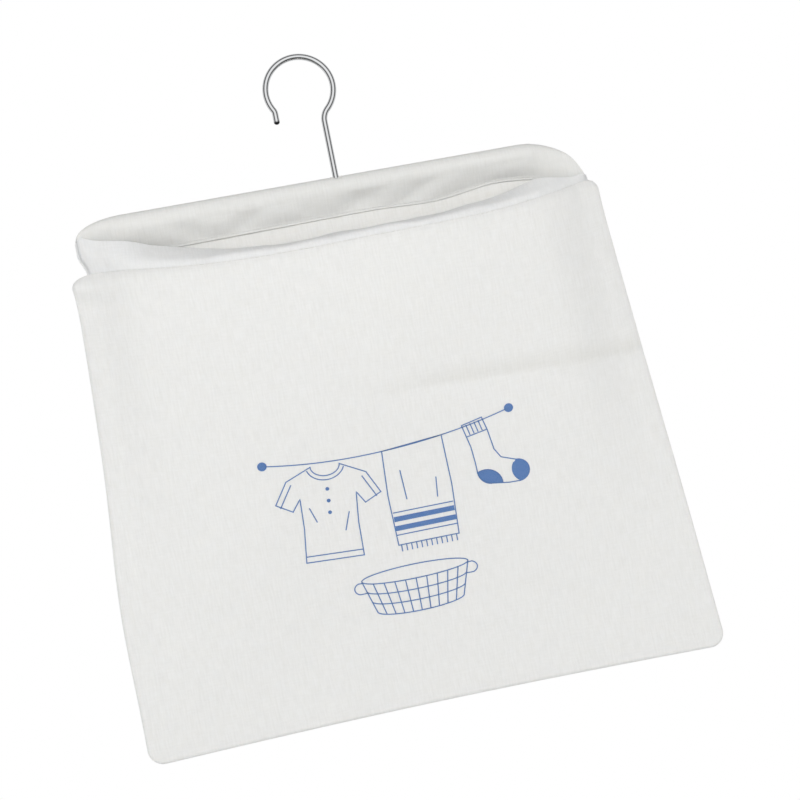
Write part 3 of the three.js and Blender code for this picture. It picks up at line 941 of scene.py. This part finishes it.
def front_cotton(bag):
    # The hem above its stitches gets painted light.
    return cotton_material(bag, "cotton of the front", bag.hem_painted_light)


def back_cotton(bag):
    # The casing above its stitches gets painted shade.
    return cotton_material(bag, "cotton of the back", bag.casing_painted_shade)


def thread_material(thread):
    found = bpy.data.materials.get("sewing thread")
    if found:
        return found
    material, nodes, shader = new_material("sewing thread")
    twist = nodes.add(
        "ShaderNodeTexWave", {"bands_direction": "DIAGONAL"},
        Vector=nodes.place(), Scale=1400.0, Distortion=1.5,
    ).outputs["Fac"]
    # Painted shade: the twist's grooves, where the bump lies low, are darker.
    dark = [0.86 * channel for channel in thread.colour]
    nodes.feed(shader, "Base Color", nodes.blend(twist, (*dark, 1), (*thread.colour, 1)))
    nodes.feed(shader, "Roughness", 0.7)
    bump(nodes, shader, twist, 0.4, 0.1 * MM)
    return material


def metal_material(name, tint, low, high, relief):
    """Metal with handling marks, and the place that its patterns read."""
    material, nodes, shader = new_material(name)
    place = nodes.place()
    marks = nodes.add(
        "ShaderNodeGroup", {"node_tree": smudge_group()}, Place=place, Low=low, High=high
    ).outputs
    nodes.feed(shader, "Base Color", (*tint, 1))
    nodes.feed(shader, "Metallic", 1.0)
    nodes.feed(shader, "Roughness", marks["Roughness"])
    bump(nodes, shader, marks["Height"], relief, 0.02 * MM)
    return material, nodes, shader, place


def chrome_material(hook, wire_end):
    """Bright chrome on the wire, with a painted dark reflection at its cut end."""
    material, nodes, shader, place = metal_material("bright chrome", hook.colour, 0.08, 0.18, 0.01)
    gone = nodes.add(
        "ShaderNodeVectorMath", {"operation": "DISTANCE"}, _0=place, _1=tuple(wire_end)
    )
    # Painted dark reflection: the chrome turns near-black within about 2 mm of the cut end.
    plated = nodes.spread(gone.outputs["Value"], 1.7 * MM, 2.7 * MM)
    base = nodes.blend(plated, (*hook.tip_painted_reflection, 1), (*hook.colour, 1))
    nodes.feed(shader, "Base Color", base)
    nodes.feed(shader, "Specular Tint", (*hook.edge_colour, 1))
    return material


def wood_material():
    """Turned beech, with its grain along the dowel and short flecks."""
    material, nodes, shader = new_material("turned beech")
    place = nodes.place()
    grain = nodes.streaks(place, (9, 420, 420), 5.0, 0.6)
    flecks = nodes.spread(nodes.streaks(place, (160, 1600, 1600), 1.0), 0.62, 0.72)
    base = nodes.blend(nodes.spread(grain, 0.3, 0.7), WOOD_DARK, WOOD_LIGHT)
    base = nodes.blend(nodes.times(flecks, 0.5), base, WOOD_FLECK)
    nodes.feed(shader, "Base Color", base)
    nodes.feed(shader, "Roughness", nodes.spread(grain, 0.3, 0.7, 0.7, 0.5))
    bump(nodes, shader, grain, 0.3, 0.1 * MM)
    return material


# Pieces
class PEGBAG_OT_wire_hook(bpy.types.Operator):
    """Bend the wire into shank, neck, ring and tail, and upset its head"""

    bl_idname = "pegbag.wire_hook"
    bl_label = "Wire hook"

    def bend(self, centre_x, centre_z, turn, steps):
        """Sweeps the wire's open end about a centre. A positive turn is clockwise from the front."""
        bpy.ops.mesh.spin(
            steps=steps, angle=-turn, center=(centre_x, 0, centre_z), axis=(0, 1, 0)
        )

    def push(self, *move):
        bpy.ops.mesh.extrude_region_move(TRANSFORM_OT_translate={"value": move})

    def execute(self, context):
        hook = context.scene.peg_bag_hook
        radius = hook.wire / 2
        ring = hook.ring / 2 + radius
        ring_z = HOOK_CROWN - hook.wire - hook.ring / 2
        neck_x = AXIS.x + hook.neck
        neck_z = -math.sqrt((ring + hook.neck) ** 2 - neck_x ** 2)
        neck_turn = math.atan2(neck_z, neck_x)
        tail_x = -hook.tail_offset - hook.tail_bend
        tail_z = -math.sqrt((ring + hook.tail_bend) ** 2 - tail_x ** 2)
        tail_turn = math.atan2(tail_z, tail_x) + TURN
        head_top = HOOK_FOOT + hook.head_thickness
        bpy.ops.object.select_all(action="DESELECT")
        bpy.ops.mesh.primitive_circle_add(
            vertices=hook.sides, radius=radius, fill_type="NOTHING", location=(AXIS.x, 0, head_top)
        )
        piece = context.object
        piece.name = "wire_hook"
        bpy.ops.object.mode_set(mode="EDIT")
        bpy.ops.mesh.select_all(action="SELECT")
        self.push(0, 0, ring_z + neck_z - head_top)
        self.bend(neck_x, ring_z + neck_z, -neck_turn, steps=18)
        self.bend(0, ring_z, neck_turn - tail_turn, steps=120)
        self.bend(tail_x, ring_z + tail_z, tail_turn - math.pi, steps=18)
        self.push(0, 0, -hook.tail)
        bpy.ops.mesh.edge_face_add()
        bpy.ops.mesh.bevel(offset=hook.tip_round, segments=6, affect="EDGES")
        self.upset_head(piece, hook, head_top)
        bpy.ops.mesh.select_all(action="SELECT")
        bpy.ops.mesh.normals_make_consistent(inside=False)
        bpy.ops.object.mode_set(mode="OBJECT")
        bpy.ops.object.transform_apply(location=True, rotation=True, scale=True)
        tip = min((v.co for v in piece.data.vertices if v.co.x < 0), key=lambda place: place.z)
        wire_end = Vector((-hook.tail_offset, 0, ring_z + tail_z - hook.tail))
        if (tip - wire_end).length > hook.wire:
            raise RuntimeError("the wire was bent the wrong way")
        smooth_shade(piece, 40)
        dress(piece, chrome_material(hook, wire_end), "hook", ["hook"])
        return {"FINISHED"}

    def upset_head(self, piece, hook, head_top):
        shape = bmesh.from_edit_mesh(piece.data)
        bpy.ops.mesh.select_all(action="DESELECT")
        for edge in shape.edges:
            edge.select = edge.is_boundary
        shape.select_flush(True)
        bmesh.update_edit_mesh(piece.data)
        self.push(0, 0, 0)
        swell = hook.head / hook.wire
        bpy.ops.transform.resize(value=(swell, swell, 1), center_override=(AXIS.x, 0, head_top))
        self.push(0, 0, -hook.head_thickness)
        bpy.ops.mesh.edge_face_add()


class PEGBAG_OT_bar_and_washer(bpy.types.Operator):
    """Finish the wooden dowel and the steel washer, which keep their solids"""

    bl_idname = "pegbag.bar_and_washer"
    bl_label = "Dowel and washer"

    def execute(self, context):
        zinc = metal_material("zinc-plated steel", ZINC, 0.28, 0.45, 0.2)[0]
        for node, material in (("hanger_dowel", wood_material()), ("swivel_washer", zinc)):
            mesh = frame["nodes"][node].data
            mesh.materials.clear()
            mesh.materials.append(material)
        return {"FINISHED"}


class PEGBAG_OT_back_cloth(bpy.types.Operator):
    """Sew the back cloth with its casing over the dowel, and cut the slot for the shank"""

    bl_idname = "pegbag.back_cloth"
    bl_label = "Back cloth"

    def execute(self, context):
        bag = context.scene.peg_bag_cloth
        grid = back_grid(bag)
        stitch_row = len(panel_heights(bag)) + COLLAR_ROWS - 1
        shades = fold_painted_shades(bag, len(grid))
        piece = grid_piece("back_cloth", grid, bag, stitch_row, flip=True, shades=shades)
        apply_modifier(piece, "SOLIDIFY", thickness=bag.thickness, offset=-1)
        before = len(piece.data.vertices)
        self.cut_slot(context, piece, bag)
        if len(piece.data.vertices) == before:
            raise RuntimeError("the slot missed the casing")
        smooth_shade(piece, 50)
        dress(piece, back_cotton(bag), "bag", ["back_panel", "bar_casing"])
        return {"FINISHED"}

    def cut_slot(self, context, piece, bag):
        """Cuts the slot down through the top of the casing, with a cylinder drawn out to its length."""
        radius = DOWEL_RADIUS + bag.sleeve_clearance
        bpy.ops.object.select_all(action="DESELECT")
        bpy.ops.mesh.primitive_cylinder_add(
            vertices=32, radius=SLOT_HALF_WIDTH, depth=4 * radius,
            location=(AXIS.x, 0, AXIS.z + 2.2 * radius),
        )
        cutter = context.object
        bpy.ops.object.mode_set(mode="EDIT")
        for side in (-1, 1):
            shape = bmesh.from_edit_mesh(cutter.data)
            for vertex in shape.verts:
                vertex.select = vertex.co.y * side > 0
            shape.select_flush(True)
            bmesh.update_edit_mesh(cutter.data)
            shift = side * (SLOT_HALF_LENGTH - SLOT_HALF_WIDTH)
            bpy.ops.transform.translate(value=(0, shift, 0))
        bpy.ops.object.mode_set(mode="OBJECT")
        apply_modifier(piece, "BOOLEAN", operation="DIFFERENCE", object=cutter, solver="EXACT")
        bpy.data.objects.remove(cutter)


class PEGBAG_OT_front_cloth(bpy.types.Operator):
    """Sew the front cloth with its sagging, turned-in hem"""

    bl_idname = "pegbag.front_cloth"
    bl_label = "Front cloth"

    def execute(self, context):
        bag = context.scene.peg_bag_cloth
        grid = front_grid(bag)
        stitch_row = len(panel_heights(bag)) - 1
        shades = fold_painted_shades(bag, len(grid))
        piece = grid_piece("front_cloth", grid, bag, stitch_row, shades=shades)
        apply_modifier(piece, "SOLIDIFY", thickness=bag.thickness, offset=-1)
        smooth_shade(piece, 50)
        dress(piece, front_cotton(bag), "bag", ["front_panel", "front_hem"])
        return {"FINISHED"}


class PEGBAG_OT_seam_allowances(bpy.types.Operator):
    """Lay the doubled seam allowances inside the sides and the bottom"""

    bl_idname = "pegbag.seam_allowances"
    bl_label = "Seam allowances"

    def execute(self, context):
        bag = context.scene.peg_bag_cloth
        inset = np.linspace(ALLOWANCE_START, bag.allowance, 7)
        low = BAG_BOTTOM + bag.corner_radius
        heights = np.linspace(low, bag.shoulder_height - ALLOWANCE_TOP, 90)[:, None]
        sides = (("allowance_left", -1, "left_seam"), ("allowance_right", 1, "right_seam"))
        for index, (name, side, node) in enumerate(sides):
            x = side * (outline_reach(bag, index, heights) - inset[::-side])
            self.lay(bag, name, x, heights, node)
        left, right = bag.bottom_reach
        x = np.linspace(bag.allowance - left, right - bag.allowance, 110)
        self.lay(bag, "allowance_bottom", x[None, :], BAG_BOTTOM + inset[:, None], "bottom_seam")
        return {"FINISHED"}

    def lay(self, bag, name, x, height, node):
        wave = ripple(x, height, ALLOWANCE_WAVES)
        z = height + bottom_arch(bag, x, rise_share(bag, height))
        piece = grid_piece(name, points(x, wave - bag.seam_depth, z), bag)
        apply_modifier(
            piece, "SOLIDIFY", thickness=2 * bag.thickness, offset=0, use_even_offset=True
        )
        smooth_shade(piece, 50)
        dress(piece, front_cotton(bag), "bag", [node])


THREAD_LIFT = 0.1 * MM  # a stitch's middle stands off the cloth by this


def stitch_shape(context, thread):
    """One stitch, modelled once: its vertices and faces, along X."""
    bpy.ops.object.select_all(action="DESELECT")
    bpy.ops.mesh.primitive_uv_sphere_add(segments=6, ring_count=6, radius=thread.radius)
    model = context.object
    middle = (0, 0, 0)
    stretch = thread.stitch / 2 / thread.radius
    bpy.ops.object.mode_set(mode="EDIT")
    bpy.ops.mesh.select_all(action="SELECT")
    bpy.ops.transform.rotate(value=math.pi / 2, orient_axis="Y", center_override=middle)
    bpy.ops.transform.resize(value=(stretch, 1, 1), center_override=middle)
    bpy.ops.object.mode_set(mode="OBJECT")
    vertices = np.array([vertex.co for vertex in model.data.vertices])
    faces = [list(face.vertices) for face in model.data.polygons]
    bpy.data.objects.remove(model)
    return vertices, faces


def stitch_run(context, name, bag, places, along, outward, stretch=1.0):
    """Copies of the stitch at places on the bag, lying along the seam and standing on the cloth."""
    thread = context.scene.peg_bag_thread
    vertices, faces = stitch_shape(context, thread)
    along = along / np.linalg.norm(along, axis=1, keepdims=True)
    side = np.cross(outward, along)
    side = side / np.linalg.norm(side, axis=1, keepdims=True)
    up = np.cross(along, side)
    x, y, z = (vertices[None, :, index, None] for index in range(3))
    copies = places[:, None] + x * stretch * along[:, None] + y * side[:, None] + z * up[:, None]
    all_faces = [
        [corner + start for corner in face]
        for start in range(0, len(places) * len(vertices), len(vertices))
        for face in faces
    ]
    piece = new_piece(name, in_frame(bag, copies), all_faces)
    smooth_shade(piece, 60)
    dress(piece, thread_material(thread), "bag")


class PEGBAG_OT_stitching(bpy.types.Operator):
    """Sew the hem, the casing, the slot and the overlocked allowances"""

    bl_idname = "pegbag.stitching"
    bl_label = "Stitching"

    def execute(self, context):
        bag = context.scene.peg_bag_cloth
        thread = context.scene.peg_bag_thread
        end = 5 * MM
        x = np.arange(end - bag.notch_reach[0], bag.notch_reach[1] - end, thread.pitch)
        forward = np.tile([0.0, -1.0, 0.0], (len(x), 1))
        hem = front_point(bag, x, np.full_like(x, bag.notch_height))
        back_face, front_face = casing_faces(bag)
        line = casing_stitch(bag, x)
        rows = (
            ("hem_stitches", hem, forward),
            ("hem_stitches_inside", hem - forward * 2 * bag.hem_fold, -forward),
            ("casing_stitches", points(x, back_face, line), -forward),
            ("casing_stitches_inside", points(x, front_face, line), forward),
        )
        for name, row, outward in rows:
            places = row + outward * THREAD_LIFT
            stitch_run(context, name, bag, places, np.gradient(row, axis=0), outward)
        self.sew_slot(context, bag)
        self.overlock(context, bag, thread)
        return {"FINISHED"}

    def sew_slot(self, context, bag, count=34, inset=0.7 * MM):
        """Short stitches that point away from the slot, all round it."""
        turn = np.linspace(0, TURN, count, endpoint=False)
        straight = SLOT_HALF_LENGTH - SLOT_HALF_WIDTH
        ray = points(np.cos(turn), np.sin(turn), 0)
        x = (SLOT_HALF_WIDTH + inset) * ray[:, 0]
        y = (SLOT_HALF_WIDTH + inset) * ray[:, 1] + np.sign(ray[:, 1]) * straight
        radius = sleeve_radius(bag)
        z = np.sqrt(radius ** 2 - y ** 2)
        outward = points(0 * x, y, z) / radius
        along = ray - outward * np.sum(ray * outward, axis=1, keepdims=True)
        places = points(x, y, z) + outward * THREAD_LIFT
        places, along, outward = (upright(bag, rows) for rows in (places, along, outward))
        stitch_run(context, "slot_stitches", bag, places, along, outward, stretch=0.7)

    def overlock(self, context, bag, thread, end=12 * MM, top=6 * MM, inset=0.6 * MM):
        """Slanting stitches over the allowances' edges, on both of their faces."""
        height = np.arange(BAG_BOTTOM + end, bag.shoulder_height - top, thread.overlock)
        rows = [
            (side * (outline_reach(bag, index, height) - bag.allowance + inset), height)
            for index, side in enumerate((-1, 1))
        ]
        x = np.arange(end - bag.bottom_reach[0], bag.bottom_reach[1] - end, thread.overlock)
        rows.append((x, np.full_like(x, BAG_BOTTOM + bag.allowance - inset)))
        x, height = (np.concatenate(values) for values in zip(*rows))
        z = height + bottom_arch(bag, x, rise_share(bag, height))
        slant = np.where(np.arange(len(x)) % 2, 1.0, -1.0)
        for name, face in (("overlock_front", -1.0), ("overlock_back", 1.0)):
            places = points(x, face * bag.thickness - bag.seam_depth, z)
            stitch_run(context, name, bag, places, points(1.0, 0 * x, slant), points(0 * x, face, 0))


# The printed drawing, in millimetres: a washing line with a shirt, a towel and a sock, and a basket
def arc(centre_x, centre_z, radius_x, radius_z, start, end, count=24):
    turn = np.radians(np.linspace(start, end, count))
    x = centre_x + radius_x * np.cos(turn)
    return np.stack([x, centre_z + radius_z * np.sin(turn)], axis=1)


def path(*parts):
    return np.concatenate([np.atleast_2d(np.array(part, float)) for part in parts])


def line_height(x):
    return 40 + 7 * (x / 68) ** 2 + 3 * x / 68


def on_line(x, above=0.0):
    return x, line_height(x) + above


def hung(strokes, middle, drop=0, aside=0):
    """Strokes drawn about their top middle, turned to the line's slope and hung from it."""
    turn = math.atan(line_height(middle + 0.5) - line_height(middle - 0.5))
    turned = np.array([[math.cos(turn), math.sin(turn)], [-math.sin(turn), math.cos(turn)]])
    return [stroke @ turned + [middle - aside, line_height(middle) - drop] for stroke in strokes]


def washing_line():
    x = np.linspace(-68, 68, 60)
    knobs = [arc(*on_line(end), 2.6, 2.6, 0, 360) for end in (-69.5, 69.5)]
    return [np.stack(on_line(x), axis=1)], knobs


def shirt():
    half = path((-8, 0), (-22, -7), (-29, -20), (-20, -25), (-15.5, -18), (-15, -36), (-16, -56))
    neck = arc(0, 0, 8, 6, 360, 180)
    cuff = path((-26.6, -22.2), (-19.5, -9))
    strokes = [
        path(half, half[::-1] * [-1, 1], neck[1:-1], (-8, 0)),
        arc(0, 0.5, 10.5, 9, 345, 195),
        cuff,
        cuff * [-1, 1],
        path((-15.6, -52.5), (15.6, -52.5)),
        path((-11, -24), (-7.5, -33)),
        path((10.5, -29), (7.5, -40)),
    ]
    buttons = [arc(0, height, 1.1, 1.1, 0, 360, 14) for height in (-14, -21, -28)]
    return hung(strokes, -36, 2), hung(buttons, -36, 2)


def towel():
    middle, half, drop = 13, 17, 58
    left, right = middle - half, middle + half
    foot = line_height(middle) - drop
    top = path(on_line(left), on_line(middle, 0.4), on_line(right))
    sides = path((right + 1, foot + 30), (right, foot), (left, foot), (left - 1, foot + 30))
    edges = [path((left, foot + rise), (right, foot + rise)) for rise in (6, 19.5)]
    fringe = [path((x, foot), (x, foot - 4)) for x in np.linspace(left + 1.5, right - 1.5, 12)]
    folds = [
        path((left + 9, foot + 26), (left + 8, foot + 44)),
        path((right - 8, foot + 24), (right - 7, foot + 36)),
    ]
    bands = [
        path((left, low), (right, low), (right, low + 3), (left, low + 3))
        for low in (foot + 8.5, foot + 14)
    ]
    return [path(top, sides, top[:1]), *edges, *fringe, *folds], bands


def sock():
    heel = arc(5.5, -31, 7, 8, 165, 262, 12)
    toe = arc(20, -37, 6.5, 6.5, 250, 440, 16)
    heel_seam = arc(1, -38.5, 9, 9, -15, 100, 12)
    toe_seam = arc(24, -37.5, 7, 7.5, 225, 130, 12)
    back = path((0, 0), (0.5, -14), (-0.5, -24))
    front = path((14, -26), (12, -20), (12.5, -8), (12, 0.4), (0, 0))
    ribs = [path((x, -0.5), (x + 0.2, -7)) for x in (2.4, 4.8, 7.2, 9.6)]
    cuff = path((0.3, -7.5), (12.4, -7.5))
    strokes = [path(back, heel, (13, -42), toe, front), cuff, *ribs, heel_seam, toe_seam]
    patches = [path(heel_seam, heel), path(toe_seam, toe[::-1])]
    return hung(strokes, 48, aside=6), hung(patches, 48, aside=6)


def basket():
    middle, rim, half, foot_half, depth, bow = 2, -34, 30, 24.5, 19, 4.2
    strokes = [arc(0, 0, half, bow, 0, 360, 48), arc(0, -depth, foot_half, bow, 180, 360, 32)]
    for share in (0.33, 0.66):
        width = half + (foot_half - half) * share
        strokes.append(arc(0, -depth * share, width, bow, 182, 358, 32))
    for share in np.linspace(-1, 1, 11):
        dip = bow * math.sqrt(1 - share ** 2)
        strokes.append(path((half * share, -dip), (foot_half * share, -depth - dip)))
    grip = arc(half + 0.6, -4, 4, 3.4, 70, -70, 12)
    handle = path((half - 0.2, -1), grip, (half - 2, -7.2))
    strokes += [handle, handle * [-1, 1]]
    return [stroke + [middle, rim] for stroke in strokes], []


def resample(stroke, spacing=1.4):
    """Adds points along the straight runs, so that a stroke can follow the cloth."""
    made = []
    for first, second in zip(stroke[:-1], stroke[1:]):
        count = max(1, math.ceil(np.linalg.norm(second - first) / spacing))
        made.extend(first + (second - first) * step / count for step in range(count))
    return np.array([*made, stroke[-1]])


def ribbon(stroke, width):
    """The two edges of a stroke, mitred at its corners, point by point."""
    step = np.diff(stroke, axis=0)
    step = step / np.linalg.norm(step, axis=1, keepdims=True)
    normal = np.stack([-step[:, 1], step[:, 0]], axis=1)
    closed = np.allclose(stroke[0], stroke[-1])
    before = np.concatenate([normal[-1:] if closed else normal[:1], normal])
    after = np.concatenate([normal, normal[:1] if closed else normal[-1:]])
    mitre = before + after
    mitre = mitre / np.maximum(np.sum(mitre * mitre, axis=1, keepdims=True) / 2, 0.5)
    edges = np.stack([stroke + mitre * width / 2, stroke - mitre * width / 2], axis=1)
    return edges.reshape(-1, 2)


class PEGBAG_OT_line_drawing(bpy.types.Operator):
    """Print the blue line drawing on the front cloth"""

    bl_idname = "pegbag.line_drawing"
    bl_label = "Line drawing"

    def execute(self, context):
        bag = context.scene.peg_bag_cloth
        drawing = context.scene.peg_bag_print
        vertices, faces, cut = [], [], []

        def lay(flat, corners):
            """Adds flat points in millimetres to the drawing, with the faces between them."""
            start = sum(len(part) for part in vertices)
            flat = flat * MM + np.array(drawing.centre)
            faces.extend([start + corner for corner in face] for face in corners)
            vertices.append(front_point(bag, *flat.T) - [0, drawing.film * 0.7, 0])
            cut.append(flat)

        for motif in (washing_line, shirt, towel, sock, basket):
            strokes, patches = motif()
            for stroke in strokes:
                edges = ribbon(resample(stroke), drawing.stroke / MM)
                starts = range(0, len(edges) - 2, 2)
                lay(edges, [(index, index + 1, index + 3, index + 2) for index in starts])
            for patch in patches:
                lay(patch, [range(len(patch))])
        piece = new_piece("line_drawing", in_frame(bag, np.concatenate(vertices)), faces)
        lay_flat(piece, np.concatenate(cut), np.concatenate(faces))
        only(piece)
        bpy.ops.object.mode_set(mode="EDIT")
        bpy.ops.mesh.select_all(action="SELECT")
        bpy.ops.mesh.quads_convert_to_tris()
        bpy.ops.object.mode_set(mode="OBJECT")
        apply_modifier(piece, "SOLIDIFY", thickness=drawing.film, offset=-1)
        ink = woven_material("blue ink", drawing.colour, drawing.worn, 0.9, 0.25, on_gaps=True)
        dress(piece, ink, "bag")
        return {"FINISHED"}


# Camera, lights and floor
WHITE = (1, 1, 1, 1)
DIM = 0.12  # how bright metal sees the sides of the room
BACKDROP = 0.85
GROUND = 0.06
FLOOR_RADIUS = 0.9
LAMP_WIDTH = 1.3
LAMPS = (  # its name, the setting that holds its power, its height and its place
    ("key light", "key", 0.8, (-1.0, -1.4, 0.08)),
    ("fill light", "fill", 0.8, (0.85, -1.45, 0.05)),
    ("top light", "overhead", 1.2, (0.3, -0.5, 1.3)),
    ("rear light", "rear", 1.2, (1.1, 1.35, 0.0)),
)


class PEGBAG_OT_stage(bpy.types.Operator):
    """Set the floor, the white surround, the lights and the camera"""

    bl_idname = "pegbag.stage"
    bl_label = "Stage"

    def execute(self, context):
        stage = context.scene.peg_bag_stage
        context.scene.view_settings.view_transform = "Standard"
        self.surround(context, stage)
        self.floor(context, stage)
        for name, setting, height, place in LAMPS:
            self.lamp(context, stage, name, getattr(stage, setting), height, place)
        self.camera(context, stage)
        return {"FINISHED"}

    def surround(self, context, stage):
        """White to the camera; metal sees white panels in front and behind, and a dark ground."""
        world = bpy.data.worlds.new("white studio")
        context.scene.world = world
        world.use_nodes = True
        nodes = Nodes(world.node_tree)
        ray = nodes.add("ShaderNodeLightPath").outputs
        way = nodes.add("ShaderNodeTexCoord").outputs["Generated"]
        _, depth, height = nodes.add("ShaderNodeSeparateXYZ", _0=way).outputs
        front = nodes.spread(depth, -0.93, -0.62, 1.0, DIM)
        behind = nodes.spread(depth, -0.2, 0.35, DIM, BACKDROP)
        ground = nodes.spread(height, -0.2, -0.6, 1.0, GROUND)
        room = nodes.maths("MINIMUM", nodes.maths("MAXIMUM", front, behind), ground)
        room = nodes.maths("MAXIMUM", room, nodes.spread(depth, 0.2, 0.6, 0.0, BACKDROP))
        around = nodes.spread(height, 0.0, 0.9, stage.ambient, stage.ambient_above)
        lit = nodes.blend(ray["Is Glossy Ray"], around, room)
        seen = nodes.maths("MAXIMUM", ray["Is Camera Ray"], ray["Is Transmission Ray"])
        light = nodes.blend(seen, lit, WHITE)
        sky = nodes.add("ShaderNodeBackground", Color=light, Strength=1.0)
        nodes.add("ShaderNodeOutputWorld", Surface=sky.outputs[0])

    def floor(self, context, stage):
        bpy.ops.object.select_all(action="DESELECT")
        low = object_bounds()[0].z - stage.floor_drop
        bpy.ops.mesh.primitive_circle_add(
            vertices=96, radius=FLOOR_RADIUS, fill_type="NGON", location=(0, 0, low)
        )
        floor = context.object
        floor.name = "studio_floor"
        material, nodes, shader = new_material("pale floor")
        place = nodes.place()
        base = nodes.blend(nodes.noise(place, 60, 3.0), (0.86, 0.86, 0.86, 1), (0.9, 0.9, 0.9, 1))
        nodes.feed(shader, "Base Color", base)
        nodes.feed(shader, "Roughness", 0.9)
        self.fade_to_white(nodes, shader, place)
        floor.data.materials.append(material)
        floor.visible_glossy = False
        floor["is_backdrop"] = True

    def fade_to_white(self, nodes, shader, place):
        """The floor keeps shadows at its middle and runs out into the white surround at its rim."""
        gone = nodes.add("ShaderNodeVectorMath", {"operation": "LENGTH"}, _0=place)
        faded = nodes.spread(
            gone.outputs["Value"], 0.25 * FLOOR_RADIUS, 0.97 * FLOOR_RADIUS, 0.45, 1.0
        )
        seen = nodes.add("ShaderNodeLightPath").outputs["Is Camera Ray"]
        white = nodes.add("ShaderNodeEmission", Color=WHITE, Strength=1.0).outputs[0]
        share = nodes.times(faded, seen)
        mixed = nodes.add("ShaderNodeMixShader", _0=share, _1=shader.outputs[0], _2=white)
        output = next(node for node in nodes.tree.nodes if node.type == "OUTPUT_MATERIAL")
        nodes.feed(output, "Surface", mixed.outputs[0])

    def lamp(self, context, stage, name, watts, height, place):
        bpy.ops.object.light_add(type="AREA", location=place)
        lamp = context.object
        lamp.name = name
        lamp.data.energy = watts
        lamp.data.shape = "RECTANGLE"
        lamp.data.size = LAMP_WIDTH
        lamp.data.size_y = height
        lamp.visible_glossy = False
        lamp.rotation_mode = "QUATERNION"
        aim = Vector(stage.aim) - Vector(place)
        lamp.rotation_quaternion = aim.to_track_quat("-Z", "Y")

    def camera(self, context, stage):
        level = math.cos(stage.pitch)
        back = Vector(
            (-math.sin(stage.yaw) * level, -math.cos(stage.yaw) * level, -math.sin(stage.pitch))
        )
        right = (-back).cross(Vector((0, 0, 1))).normalized()
        up = right.cross(-back)
        turned_right = math.cos(stage.roll) * right - math.sin(stage.roll) * up
        turned_up = math.sin(stage.roll) * right + math.cos(stage.roll) * up
        turn = Matrix((turned_right, turned_up, back)).transposed()
        place = Vector(stage.aim) + back * stage.distance
        bpy.ops.object.camera_add(location=place, rotation=turn.to_euler())
        camera = context.object
        camera.data.lens = stage.lens
        camera.data.shift_x, camera.data.shift_y = stage.shift
        context.scene.camera = camera


class VIEW3D_PT_peg_bag(bpy.types.Panel):
    """Builds the peg bag piece by piece"""

    bl_label = "Peg bag"
    bl_space_type = "VIEW_3D"
    bl_region_type = "UI"
    bl_category = "Peg bag"

    def draw(self, context):
        for operator in OPERATORS:
            self.layout.operator(operator.bl_idname)
        for name in SETTINGS:
            group = getattr(context.scene, name)
            box = self.layout.box()
            for key in group.bl_rna.properties.keys():
                if key not in ("rna_type", "name"):
                    box.prop(group, key)


SETTINGS = {
    "peg_bag_cloth": PegBagCloth,
    "peg_bag_thread": PegBagThread,
    "peg_bag_print": PegBagPrint,
    "peg_bag_hook": PegBagHook,
    "peg_bag_stage": PegBagStage,
}
OPERATORS = (
    PEGBAG_OT_wire_hook,
    PEGBAG_OT_bar_and_washer,
    PEGBAG_OT_back_cloth,
    PEGBAG_OT_front_cloth,
    PEGBAG_OT_seam_allowances,
    PEGBAG_OT_stitching,
    PEGBAG_OT_line_drawing,
    PEGBAG_OT_stage,
)
CLASSES = (*SETTINGS.values(), *OPERATORS, VIEW3D_PT_peg_bag)


def register():
    for kind in CLASSES:
        bpy.utils.register_class(kind)
    for name, kind in SETTINGS.items():
        setattr(bpy.types.Scene, name, PointerProperty(type=kind))


def unregister():
    for name in SETTINGS:
        delattr(bpy.types.Scene, name)
    for kind in reversed(CLASSES):
        bpy.utils.unregister_class(kind)


def main():
    register()
    for operator in OPERATORS:
        category, name = operator.bl_idname.split(".")
        getattr(getattr(bpy.ops, category), name)()


if __name__ == "__main__":
    main()
